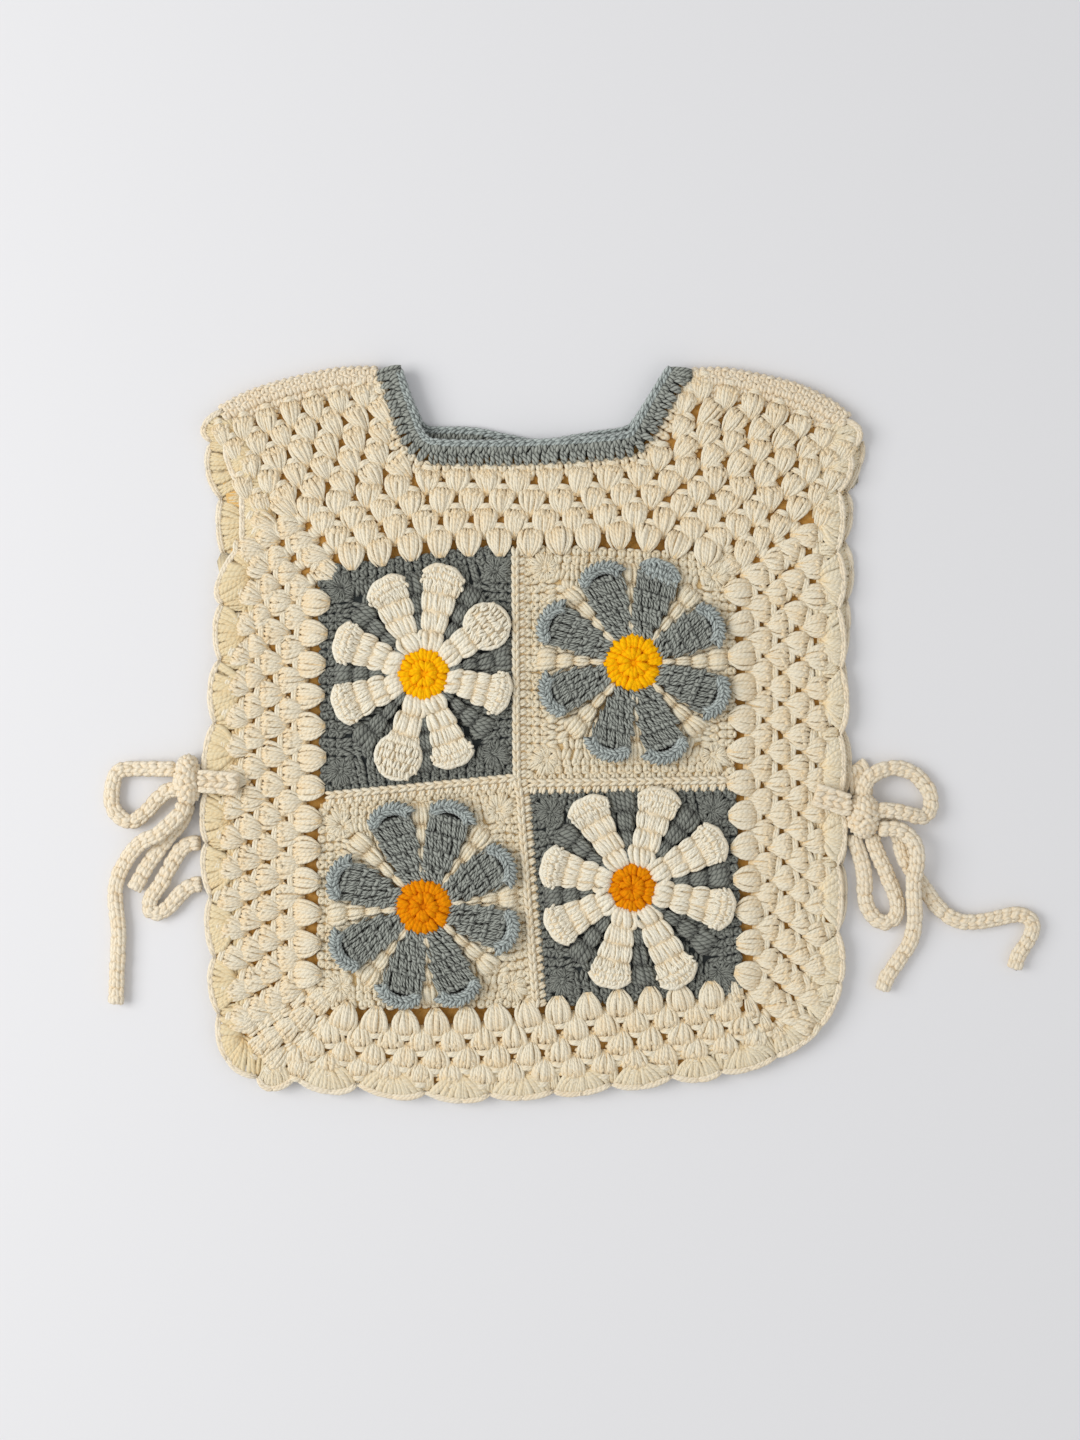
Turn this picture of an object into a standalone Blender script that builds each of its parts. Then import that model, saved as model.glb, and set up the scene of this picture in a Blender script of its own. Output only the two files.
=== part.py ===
"""A child's crocheted vest, laid flat: the front lies on the back, and a bow ties them at each side.

Metres, +Z up. The vest lies on z = 0 with its hem towards -Y. Its origin is under the middle of its outline.
"""

from collections import namedtuple
from math import cos, hypot, pi, radians, sin

import bmesh
import bpy
import numpy as np

# Walls and gaps
WALL = 0.0034              # thickness of the crocheted cloth
LAYER_GAP = 0.0004         # air between the back and the front
SEAM_GAP = 0.0003          # air between pieces that are joined
FRONT_FLOOR = WALL + LAYER_GAP
FRONT_TOP = FRONT_FLOOR + WALL
RIB_RISE = 0.0009          # how far a row of clusters swells above the cloth
RIB_SINK = 0.0006          # how far the cloth is drawn in between two rows
SIDE_ROWS = 5              # rounds of clusters beside the squares
HEM_ROWS = 4
YOKE_ROWS = 4
SHOULDER_ROWS = 4
CELLS_PER_ROW = 3

# Shell edging
SHELL_DEPTH = 0.0130       # from the last round to the scalloped rim
SHELL_NOTCH = 0.0044       # how far the rim draws in between two shells
SHELL_RISE = 0.0011        # a fan's middle stands this much above its own edges
SHELL_FULLNESS = 0.6       # 1 makes each scallop a half wave, less makes it fuller
SHELL_CELLS = 6            # cells along each shell
RIM_RUN_ON = 0.0040        # the rim's curve passes each shoulder's fold by this much
RIM_END_GAP = 0.0006       # and its edging stops this far from each seam
RIM_SEARCH = 0.08          # share of the rim within which a shoulder seam can be in its way
LEFT_SHELLS, HEM_SHELLS, RIGHT_SHELLS = 11, 10, 11

# Neckband
BAND_WIDTH = 0.0116
BAND_CHAIN_RISE = 0.0009   # the chain along the free edge stands above the posts

# Granny squares and daisies
RIDGE_WIDTH = 0.0038
UPRIGHT_WIDTH = 0.0045
RIDGE_RISE = 0.0014
SPOKE_RISE = 0.0010
SPOKE_ANGLE = 6.5          # half width of a spoke, in degrees
SPOKE_FOOT = 9.0           # and with its sloping sides
SPOKE_RINGS = (0.50, 0.86)         # where spokes rise, as shares of the daisy's reach
GROUND_RINGS = (0.0, 0.43, 0.50, 0.86, 0.93, 1.0)
PETALS = 8
PETAL_TURN = 360 / PETALS          # degrees from one petal to the next
PETAL_ACROSS = (-1.0, -0.4, 0.4, 1.0)      # places across a petal, as shares of its half width
PETAL_CROWN = 0.3          # a petal's edges are this much thinner than its middle
HEART_FLOOR = FRONT_TOP + SEAM_GAP
HEART_RISE = 0.0036
HEART_CROWN = 0.55         # the centre's edge is this much lower than its middle
RING_WIDTH = 0.0022        # the round that the petals grow from
RING_RISE = 0.0026
PETAL_FLOOR = FRONT_TOP + SPOKE_RISE + SEAM_GAP
PETAL_RISE = 0.0028        # height of a petal's body
PETAL_RIM_RISE = 0.0044    # height of its turned-over tip
PETAL_RIM = 0.0060         # width of that tip
PETAL_ROOT = 0.0036        # half widths of a petal
PETAL_TIP = 0.0094

# Shoulder seams
SEAM_WIDTH = 0.0082
BAND_FOLD_WIDTH = 0.0040   # the neckband's own fold at each shoulder

# Ties: flat crocheted cord
CORD_WIDTH = 0.0080
CORD_HEIGHT = 0.0048
CORD_STEP = 0.0130         # distance between two points of a cord
CORD_RUN_IN = 0.0025       # a cord is straight for this far at both ends
TAB_WIDTH = 0.0096
TAB_HEIGHT = 0.0030
KNOT_ROUNDING = 0.0026
SHARP_ANGLE = 50           # degrees: edges that fold more than this are shaded sharp

Plan = namedtuple("Plan", "x y")
Point = namedtuple("Point", "x y z")

# The fold of each shoulder, from the neck out to the tip.
LEFT_FOLD = [Plan(-0.0745, 0.1746), Plan(-0.0930, 0.1740), Plan(-0.1120, 0.1702), Plan(-0.1270, 0.1662),
             Plan(-0.1390, 0.1617), Plan(-0.1455, 0.1582), Plan(-0.1520, 0.1547), Plan(-0.1585, 0.1512)]
RIGHT_FOLD = [Plan(0.0765, 0.1738), Plan(0.0935, 0.1738), Plan(0.1150, 0.1697), Plan(0.1290, 0.1657),
              Plan(0.1420, 0.1594), Plan(0.1480, 0.1550), Plan(0.1540, 0.1506), Plan(0.1600, 0.1462)]
# The rim of the front's shell edging, from the left armhole down, along the hem and up to the right armhole.
FRONT_RIM = [
    Plan(-0.1475, 0.1290), Plan(-0.1420, 0.1120), Plan(-0.1430, 0.0900), Plan(-0.1495, 0.0600),
    Plan(-0.1560, 0.0200), Plan(-0.1593, -0.0300), Plan(-0.1590, -0.0700), Plan(-0.1560, -0.1200),
    Plan(-0.1515, -0.1470), Plan(-0.1430, -0.1620), Plan(-0.1280, -0.1690), Plan(-0.1000, -0.1725),
    Plan(-0.0350, -0.1760), Plan(0.0230, -0.1740), Plan(0.0800, -0.1665), Plan(0.1160, -0.1570),
    Plan(0.1380, -0.1400), Plan(0.1480, -0.1150), Plan(0.1510, -0.0700), Plan(0.1505, 0.0000),
    Plan(0.1495, 0.0500), Plan(0.1472, 0.0880), Plan(0.1490, 0.1100), Plan(0.1530, 0.1270),
]
# The back's rim shows beside the upper front and hides under the rest of it.
BACK_RIM = [
    Plan(-0.1595, 0.1280), Plan(-0.1545, 0.1100), Plan(-0.1528, 0.0880), Plan(-0.1510, 0.0600),
    Plan(-0.1545, 0.0200), Plan(-0.1573, -0.0300), Plan(-0.1570, -0.0700), Plan(-0.1540, -0.1200),
    Plan(-0.1495, -0.1455), Plan(-0.1410, -0.1600), Plan(-0.1265, -0.1668), Plan(-0.1000, -0.1700),
    Plan(-0.0350, -0.1735), Plan(0.0230, -0.1715), Plan(0.0800, -0.1640), Plan(0.1145, -0.1548),
    Plan(0.1360, -0.1385), Plan(0.1460, -0.1150), Plan(0.1494, -0.0700), Plan(0.1520, 0.0000),
    Plan(0.1528, 0.0500), Plan(0.1535, 0.0840), Plan(0.1555, 0.1080), Plan(0.1596, 0.1260),
]
# The middle of each neckband, from the left shoulder round the neck to the right one.
FRONT_BAND = [
    Plan(-0.0682, 0.1704), Plan(-0.0680, 0.1650), Plan(-0.0648, 0.1572), Plan(-0.0590, 0.1480),
    Plan(-0.0525, 0.1400),
    Plan(-0.0430, 0.1362), Plan(-0.0200, 0.1350), Plan(0.0040, 0.1346), Plan(0.0300, 0.1362),
    Plan(0.0450, 0.1382), Plan(0.0550, 0.1450), Plan(0.0640, 0.1565), Plan(0.0697, 0.1642),
    Plan(0.0700, 0.1696),
]
BACK_BAND = [
    Plan(-0.0682, 0.1704), Plan(-0.0680, 0.1650), Plan(-0.0645, 0.1590), Plan(-0.0582, 0.1513),
    Plan(-0.0515, 0.1437),
    Plan(-0.0425, 0.1399), Plan(-0.0200, 0.1387), Plan(0.0040, 0.1383), Plan(0.0300, 0.1399),
    Plan(0.0445, 0.1419), Plan(0.0540, 0.1485), Plan(0.0640, 0.1580), Plan(0.0697, 0.1645),
    Plan(0.0700, 0.1696),
]
# The neckband's folds
LEFT_BAND_FOLD = [Plan(-0.0622, 0.1752), Plan(-0.0740, 0.1748)]
RIGHT_BAND_FOLD = [Plan(0.0640, 0.1742), Plan(0.0760, 0.1740)]

# The block of four squares, as the borders and the yoke meet it
YOKE_LOWER = [Plan(-0.1600, 0.0800), Plan(-0.1000, 0.0803), Plan(-0.0090, 0.0903), Plan(0.0000, 0.0903),
              Plan(0.0975, 0.0863), Plan(0.1600, 0.0860)]
HEM_UPPER = [Plan(-0.0994, -0.1315), Plan(0.0035, -0.1312), Plan(0.1008, -0.1248)]
BLOCK_TOP_LEFT = Plan(-0.1003, 0.0800)
BLOCK_TOP_RIGHT = Plan(0.0978, 0.0860)
NECK_LEVEL = 0.1316        # the shoulders start here; between them the yoke follows the neckband
BACK_NECK_RISE = 0.0034    # the back's neckline sits this much higher
# Places on the rim where the side edgings and the hem's meet
LEFT_CORNER = Plan(-0.1475, -0.1560)
RIGHT_CORNER = Plan(0.1320, -0.1460)

# corners run clockwise from the upper left. turn and leans are in degrees: how far the daisy is turned, and
# how far each petal leans from its even place, counter-clockwise from the one at the right.
Square = namedtuple(
    "Square",
    "name ground petals heart centre heart_radius reach_x reach_y turn corners leans",
)
SQUARES = [
    Square(
        "top_left", "slate", "cream", "orange", Plan(-0.0520, 0.0286), 0.0120, 0.0455, 0.0515, 4.6,
        [Plan(-0.1000, 0.0797), Plan(-0.0092, 0.0897), Plan(-0.0085, -0.0205), Plan(-0.0990, -0.0290)],
        (7, 5, -3, -3, -5, 1, -6, 3),
    ),
    Square(
        "top_right", "cream", "slate", "orange", Plan(0.0482, 0.0338), 0.0134, 0.0480, 0.0500, 0.9,
        [Plan(-0.0040, 0.0900), Plan(0.0975, 0.0860), Plan(0.0965, -0.0215), Plan(-0.0032, -0.0232)],
        (3, 4, -2, -4, -1, 4, -3, -1),
    ),
    Square(
        "bottom_left", "cream", "slate", "amber", Plan(-0.0521, -0.0828), 0.0130, 0.0480, 0.0500, 4.0,
        [Plan(-0.0990, -0.0337), Plan(-0.0073, -0.0250), Plan(0.0008, -0.1309), Plan(-0.0992, -0.1312)],
        (2, 1, -5, -1, 3, -4, 2, 2),
    ),
    Square(
        "bottom_right", "slate", "cream", "amber", Plan(0.0478, -0.0737), 0.0112, 0.0465, 0.0500, 6.7,
        [Plan(-0.0020, -0.0278), Plan(0.0970, -0.0262), Plan(0.1008, -0.1245), Plan(0.0060, -0.1306)],
        (0, -1, 0, 1, -1, 1, -1, 2),
    ),
]
UPRIGHT_RIDGE = [Plan(-0.0066, 0.0897), Plan(-0.0063, 0.0350), Plan(-0.0059, -0.0180), Plan(-0.0045, -0.0285),
                 Plan(-0.0037, -0.0390), Plan(-0.0009, -0.0750), Plan(0.0034, -0.1308)]
LEFT_RIDGE = [Plan(-0.0993, -0.0314), Plan(-0.0083, -0.0228)]
RIGHT_RIDGE = [Plan(-0.0024, -0.0255), Plan(0.0967, -0.0239)]

Knot = namedtuple("Knot", "centre size")
KNOTS = {
    "left": Knot(Point(-0.1655, -0.0225, 0.0060), Point(0.0106, 0.0210, 0.0120)),
    "right": Knot(Point(0.1590, -0.0395, 0.0060), Point(0.0130, 0.0180, 0.0120)),
}
TABS = {
    "tab_left_front": [
        Point(-0.1405, -0.0243, 0.0101), Point(-0.1500, -0.0234, 0.0101), Point(-0.1565, -0.0229, 0.0101),
        Point(-0.1598, -0.0228, 0.0101),
    ],
    "tab_right_front": [
        Point(0.1350, -0.0290, 0.0101), Point(0.1430, -0.0315, 0.0101), Point(0.1490, -0.0337, 0.0101),
        Point(0.1521, -0.0338, 0.0101),
    ],
    "tab_right_back": [
        Point(0.1552, -0.0150, 0.0016), Point(0.1575, -0.0185, 0.0016), Point(0.1585, -0.0260, 0.0016),
        Point(0.1585, -0.0300, 0.0016),
    ],
}
CORDS = {
    "tie_left_loop_front": [
        Point(-0.1712, -0.0172, 0.0052), Point(-0.1745, -0.0172, 0.0050), Point(-0.1900, -0.0172, 0.0030),
        Point(-0.1990, -0.0180, 0.0028), Point(-0.2022, -0.0250, 0.0028), Point(-0.2018, -0.0360, 0.0028),
        Point(-0.1945, -0.0425, 0.0028), Point(-0.1870, -0.0385, 0.0030), Point(-0.1800, -0.0310, 0.0044),
        Point(-0.1745, -0.0269, 0.0058), Point(-0.1712, -0.0268, 0.0060),
    ],
    "tie_left_end_front": [
        Point(-0.1672, -0.0334, 0.0082), Point(-0.1674, -0.0365, 0.0082), Point(-0.1735, -0.0432, 0.0080),
        Point(-0.1800, -0.0488, 0.0078), Point(-0.1885, -0.0528, 0.0058), Point(-0.1952, -0.0608, 0.0030),
        Point(-0.1998, -0.0700, 0.0027), Point(-0.2009, -0.0800, 0.0027), Point(-0.1992, -0.0940, 0.0027),
        Point(-0.1998, -0.1100, 0.0027), Point(-0.2004, -0.1300, 0.0027),
    ],
    "tie_left_loop_back": [
        Point(-0.1600, -0.0528, 0.0025), Point(-0.1632, -0.0528, 0.0025), Point(-0.1685, -0.0548, 0.0025),
        Point(-0.1718, -0.0600, 0.0025), Point(-0.1757, -0.0665, 0.0025), Point(-0.1797, -0.0738, 0.0025),
        Point(-0.1842, -0.0800, 0.0025), Point(-0.1835, -0.0865, 0.0025), Point(-0.1768, -0.0850, 0.0025),
        Point(-0.1700, -0.0775, 0.0025), Point(-0.1636, -0.0727, 0.0025), Point(-0.1600, -0.0725, 0.0025),
    ],
    "tie_left_end_back": [
        Point(-0.1660, -0.0334, 0.0025), Point(-0.1662, -0.0365, 0.0025), Point(-0.1695, -0.0430, 0.0025),
        Point(-0.1755, -0.0500, 0.0025), Point(-0.1828, -0.0600, 0.0025), Point(-0.1884, -0.0688, 0.0025),
        Point(-0.1917, -0.0750, 0.0025),
    ],
    "tie_right_loop_front": [
        Point(0.1585, -0.0301, 0.0062), Point(0.1585, -0.0270, 0.0062), Point(0.1628, -0.0200, 0.0060),
        Point(0.1730, -0.0164, 0.0044), Point(0.1831, -0.0189, 0.0032), Point(0.1900, -0.0262, 0.0030),
        Point(0.1920, -0.0345, 0.0038), Point(0.1880, -0.0402, 0.0056), Point(0.1800, -0.0385, 0.0076),
        Point(0.1740, -0.0372, 0.0080), Point(0.1692, -0.0367, 0.0080), Point(0.1659, -0.0367, 0.0080),
    ],
    "tie_right_loop_back": [
        Point(0.1552, -0.0489, 0.0027), Point(0.1552, -0.0520, 0.0027), Point(0.1585, -0.0610, 0.0025),
        Point(0.1600, -0.0700, 0.0025), Point(0.1603, -0.0800, 0.0025), Point(0.1640, -0.0880, 0.0026),
        Point(0.1697, -0.0913, 0.0027), Point(0.1748, -0.0880, 0.0027), Point(0.1752, -0.0800, 0.0026),
        Point(0.1712, -0.0700, 0.0025), Point(0.1672, -0.0600, 0.0025), Point(0.1637, -0.0520, 0.0027),
        Point(0.1637, -0.0489, 0.0027),
    ],
    "tie_right_end_front": [
        Point(0.1659, -0.0455, 0.0081), Point(0.1690, -0.0455, 0.0081), Point(0.1740, -0.0456, 0.0081),
        Point(0.1795, -0.0483, 0.0081), Point(0.1838, -0.0545, 0.0081), Point(0.1842, -0.0626, 0.0081),
        Point(0.1826, -0.0708, 0.0081), Point(0.1831, -0.0809, 0.0078), Point(0.1838, -0.0920, 0.0040),
        Point(0.1817, -0.1010, 0.0028), Point(0.1764, -0.1092, 0.0028), Point(0.1710, -0.1170, 0.0028),
        Point(0.1685, -0.1235, 0.0028),
    ],
    "tie_right_end_back": [
        Point(0.1659, -0.0428, 0.0025), Point(0.1690, -0.0428, 0.0025), Point(0.1745, -0.0447, 0.0025),
        Point(0.1768, -0.0505, 0.0025), Point(0.1782, -0.0575, 0.0025), Point(0.1816, -0.0645, 0.0025),
        Point(0.1875, -0.0722, 0.0025), Point(0.1946, -0.0826, 0.0025), Point(0.2023, -0.0890, 0.0025),
        Point(0.2110, -0.0908, 0.0025), Point(0.2230, -0.0890, 0.0025), Point(0.2345, -0.0870, 0.0025),
        Point(0.2410, -0.0910, 0.0025), Point(0.2395, -0.0985, 0.0025), Point(0.2345, -0.1060, 0.0025),
        Point(0.2320, -0.1130, 0.0025),
    ],
}
# The middle of the vest's outline in the plan above, which its origin stands under.
MIDDLE = Plan(0.0002, -0.0004)


def srgb(red, green, blue):
    """The linear colour of an 8-bit one."""
    return tuple((channel / 255) ** 2.2 for channel in (red, green, blue)) + (1.0,)


YARNS = {
    "cream": (srgb(244, 232, 200), 0.85),
    "slate": (srgb(112, 125, 133), 0.85),
    "orange": (srgb(245, 160, 20), 0.80),
    "amber": (srgb(228, 140, 12), 0.80),
}


def clear_scene():
    for obj in list(bpy.data.objects):
        bpy.data.objects.remove(obj, do_unlink=True)


def new_vest():
    """The collection for the vest and the empty that all its pieces hang from."""
    collection = bpy.data.collections.new("sweater_vest")
    bpy.context.scene.collection.children.link(collection)
    empty = bpy.data.objects.new("vest_origin", None)
    empty.location = (-MIDDLE.x, -MIDDLE.y, 0.0)
    collection.objects.link(empty)
    return collection, empty


def yarn(node, colour):
    """The node's own material, in one of the yarn colours."""
    rgba, roughness = YARNS[colour]
    material = bpy.data.materials.new(f"{node}_{colour}")
    material.use_nodes = True
    shader = material.node_tree.nodes["Principled BSDF"]
    shader.inputs["Base Color"].default_value = rgba
    shader.inputs["Roughness"].default_value = roughness
    shader.inputs["Metallic"].default_value = 0.0
    return material


def add_node(name, data, colour):
    obj = bpy.data.objects.new(name, data)
    data.materials.append(yarn(name, colour))
    vest.objects.link(obj)
    obj.parent = origin
    return obj


def lerp(a, b, share):
    return a + (b - a) * share


def smooth_path(points, count, run_in=0.0):
    """A smooth curve through the points, read evenly, and with a run_in also that far from both ends."""
    knots = np.array([tuple(p) for p in points], float)
    run = np.vstack([2 * knots[0] - knots[1], knots, 2 * knots[-1] - knots[-2]])
    t = np.linspace(0, 1, 24, endpoint=False)[:, None]
    stretches = []
    for a, b, c, d in zip(run, run[1:], run[2:], run[3:]):
        cubic = (3 * b - a - 3 * c + d) * t**3
        square = (2 * a - 5 * b + 4 * c - d) * t**2
        stretches.append(0.5 * (2 * b + (c - a) * t + square + cubic))
    fine = np.vstack(stretches + [knots[-1:]])
    length = np.r_[0, np.cumsum(np.linalg.norm(np.diff(fine, axis=0), axis=1))]
    wanted = np.linspace(run_in, length[-1] - run_in, count)
    if run_in > 0:
        wanted = np.r_[0.0, wanted, length[-1]]
    return np.column_stack([np.interp(wanted, length, column) for column in fine.T])


class Line:
    """A smooth curve in plan, read by a share of its length and a distance to its left."""

    def __init__(self, points, samples=500):
        self.points = smooth_path(points, samples)
        along = np.gradient(self.points, axis=0)
        along /= np.linalg.norm(along, axis=1)[:, None]
        self.lefts = np.column_stack([-along[:, 1], along[:, 0]])
        self.shares = np.linspace(0, 1, samples)
        self.length = np.linalg.norm(np.diff(self.points, axis=0), axis=1).sum()

    def at(self, share, aside=0.0):
        x, y = (np.interp(share, self.shares, column) for column in self.points.T)
        left_x, left_y = (np.interp(share, self.shares, column) for column in self.lefts.T)
        return np.array((x + left_x * aside, y + left_y * aside))

    def share_near(self, place):
        return float(self.shares[np.linalg.norm(self.points - np.array(tuple(place)), axis=1).argmin()])

    def share_at_height(self, y, aside, first, last):
        """Where the curve, moved aside, crosses y between two shares."""
        shares = np.linspace(first, last, 200)
        heights = np.array([self.at(share, aside)[1] for share in shares])
        order = np.argsort(heights)
        return float(np.interp(y, heights[order], shares[order]))


def height_on(points, x):
    """The y at x of a short list of points that run towards +X."""
    return float(np.interp(x, [p.x for p in points], [p.y for p in points]))


def along(line, first, last, aside=0.0):
    """The stretch of a line between two shares of its length, as a function of a share of its own."""
    return lambda share: line.at(lerp(first, last, share), aside)


def straight(first, last):
    return lambda share: lerp(np.array(tuple(first)), np.array(tuple(last)), share)


def traced(points, first_x, last_x):
    """The stretch of a short list of points between two places along X."""

    def at(share):
        x = lerp(first_x, last_x, share)
        return np.array((x, height_on(points, x)))

    return at


def under_band(band, neck_level, first_x, last_x):
    """A neckline from outside: level at both ends, and along the neckband's outer edge between them."""
    edge = band.points + band.lefts * (-BAND_WIDTH / 2 - SEAM_GAP)
    edge = edge[edge[:, 1] < neck_level]

    def at(share):
        x = lerp(first_x, last_x, share)
        return np.array((x, np.interp(x, edge[:, 0], edge[:, 1], left=neck_level, right=neck_level)))

    return at


def fitted(edge, first, last):
    """The edge, moved so that it runs from first to last."""
    start, end = first - edge(0.0), last - edge(1.0)
    return lambda share: edge(share) + lerp(start, end, share)


def patch(low, high, left, right):
    """The plan inside four edges, each a function of a share: low and high along u, the others along v."""
    corners = low(0.0), low(1.0), high(0.0), high(1.0)

    def place(u, v):
        between = lerp(low(u), high(u), v) + lerp(left(v), right(v), u)
        return between - lerp(lerp(corners[0], corners[1], u), lerp(corners[2], corners[3], u), v)

    return place


def grid(cells, place, floor):
    """Flat faces over the plan place(u, v). Each vertex keeps its u and v, through later steps too."""
    bm = bmesh.new()
    u_of = bm.verts.layers.float.new("u")
    v_of = bm.verts.layers.float.new("v")
    bmesh.ops.create_grid(bm, x_segments=cells[0], y_segments=cells[1], size=0.5)
    for vert in bm.verts:
        vert[u_of] = vert.co.x + 0.5
        vert[v_of] = vert.co.y + 0.5
        x, y = place(vert[u_of], vert[v_of])
        vert.co = (x, y, floor)
    bmesh.ops.remove_doubles(bm, verts=bm.verts, dist=1e-6)
    return bm, lambda vert: (vert[u_of], vert[v_of])


def thicken(bm, top_of, flat_sides=1):
    """Turns flat faces into a closed wall: a copy of them is raised to top_of each vertex.

    Of its two broad sides, the under side is one flat face with flat_sides 1, and both are with 2.
    """
    under = bm.faces[:]
    made = bmesh.ops.extrude_face_region(bm, geom=bm.faces[:] + bm.edges[:] + bm.verts[:], use_keep_orig=True)
    for item in made["geom"]:
        if isinstance(item, bmesh.types.BMVert):
            item.co.z = top_of(item)
    if flat_sides > 0:
        bmesh.ops.dissolve_faces(bm, faces=under)
    if flat_sides > 1:
        upper = [item for item in made["geom"] if isinstance(item, bmesh.types.BMFace)]
        bmesh.ops.dissolve_faces(bm, faces=upper)
    bmesh.ops.recalc_face_normals(bm, faces=bm.faces)


def finish(name, bm, colour):
    mesh = bpy.data.meshes.new(name)
    bm.to_mesh(mesh)
    bm.free()
    mesh.shade_smooth()
    mesh.set_sharp_from_angle(angle=radians(SHARP_ANGLE))
    return add_node(name, mesh, colour)


def wall(name, colour, cells, place, top, floor, flat_sides=1):
    """A closed wall of crochet: place(u, v) is its plan and top(u, v) its upper side."""
    bm, uv_of = grid(cells, place, floor)
    thicken(bm, lambda vert: top(*uv_of(vert)), flat_sides)
    return finish(name, bm, colour)


def rows(count, top, across_u):
    """The upper side of cloth in rows: it sinks between two rows and swells in the middle of each."""

    def height(u, v):
        phase = (u if across_u else v) * count % 1.0
        return top - RIB_SINK + (RIB_SINK + RIB_RISE) * (0.5 - 0.5 * cos(2 * pi * phase))

    return height


def level(top):
    return lambda u, v: top


def rim_line(points, folds):
    """A layer's whole rim. It runs on past both shoulder seams, which clear_share trims it to."""
    left, right = folds
    return Line([left.at(1.0, -RIM_RUN_ON)] + points + [right.at(1.0, RIM_RUN_ON)])


def clear_share(rim, aside, fold, start, inward):
    """How far along from its end the rim, moved aside, comes clear of a shoulder seam."""
    shares = start + inward * np.linspace(0, RIM_SEARCH, 400)
    places = [rim.at(share, aside) for share in shares]
    distances = np.array([np.linalg.norm(fold.points - place, axis=1).min() for place in places])
    blocked = np.flatnonzero(distances < SEAM_WIDTH + RIM_END_GAP)
    return float(shares[blocked[-1] + 1]) if len(blocked) else start


def build_edging(layer, rim, folds, floor, top, rise, flat_sides):
    """Shell edging in three stretches: scalloped at the rim, each fan domed in its middle."""
    depths = (0.0, SHELL_DEPTH / 2, SHELL_DEPTH)
    first_clear = [clear_share(rim, depth, folds[0], 0.0, 1.0) for depth in depths]
    last_clear = [clear_share(rim, depth, folds[1], 1.0, -1.0) for depth in depths]
    left_corner, right_corner = rim.share_near(LEFT_CORNER), rim.share_near(RIGHT_CORNER)
    stretches = (
        ("left", 0.0, left_corner, LEFT_SHELLS),
        ("hem", left_corner, right_corner, HEM_SHELLS),
        ("right", right_corner, 1.0, RIGHT_SHELLS),
    )
    gap = SEAM_GAP / rim.length
    for side, first, last, shells in stretches:

        def place(u, v):
            notch = SHELL_NOTCH * (1 - sin(pi * (u * shells % 1.0)) ** SHELL_FULLNESS)
            aside = lerp(notch, SHELL_DEPTH, v)
            start = max(first + gap, float(np.interp(aside, depths, first_clear)))
            end = min(last - gap, float(np.interp(aside, depths, last_clear)))
            return rim.at(lerp(start, end, u), aside)

        def height(u, v):
            return top + rise * (sin(pi * (u * shells % 1.0)) * sin(pi * (0.3 + 0.6 * v)) - 0.3)

        wall(f"{layer}_edging_{side}", "cream", (shells * SHELL_CELLS, 2), place, height, floor, flat_sides)


def build_shoulder(layer, side, rim, fold, band, neck_level, floor, top, flat_sides):
    """One shoulder's cloth, from the yoke up to its seam and from the armhole's edging to the neckband."""
    inward = 1.0 if side == "left" else -1.0
    start = 0.0 if side == "left" else 1.0
    inner = SEAM_WIDTH + SEAM_GAP
    depth = SHELL_DEPTH + SEAM_GAP
    neck_aside = -BAND_WIDTH / 2 - SEAM_GAP
    low = neck_level + SEAM_GAP
    foot = rim.share_at_height(low, depth, start, start + inward * 0.12)
    neck_foot = band.share_at_height(low, neck_aside, start, start + inward * 0.30)
    top_share = clear_share(rim, depth, fold, start, inward)
    crown = along(fold, fold.share_near(rim.at(top_share, depth)), 0.0, inward * inner)
    outer = fitted(along(rim, foot, top_share, depth), rim.at(foot, depth), crown(0.0))
    neck = fitted(along(band, neck_foot, start, neck_aside), band.at(neck_foot, neck_aside), crown(1.0))
    sole = straight(outer(0.0), neck(0.0))
    if side == "left":
        place = patch(sole, crown, outer, neck)
    else:
        place = patch(lambda u: sole(1 - u), lambda u: crown(1 - u), neck, outer)
    cells = (10, SHOULDER_ROWS * CELLS_PER_ROW)
    surface = rows(SHOULDER_ROWS, top, False) if flat_sides == 1 else level(top)
    wall(f"{layer}_shoulder_{side}", "cream", cells, place, surface, floor, flat_sides)


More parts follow.
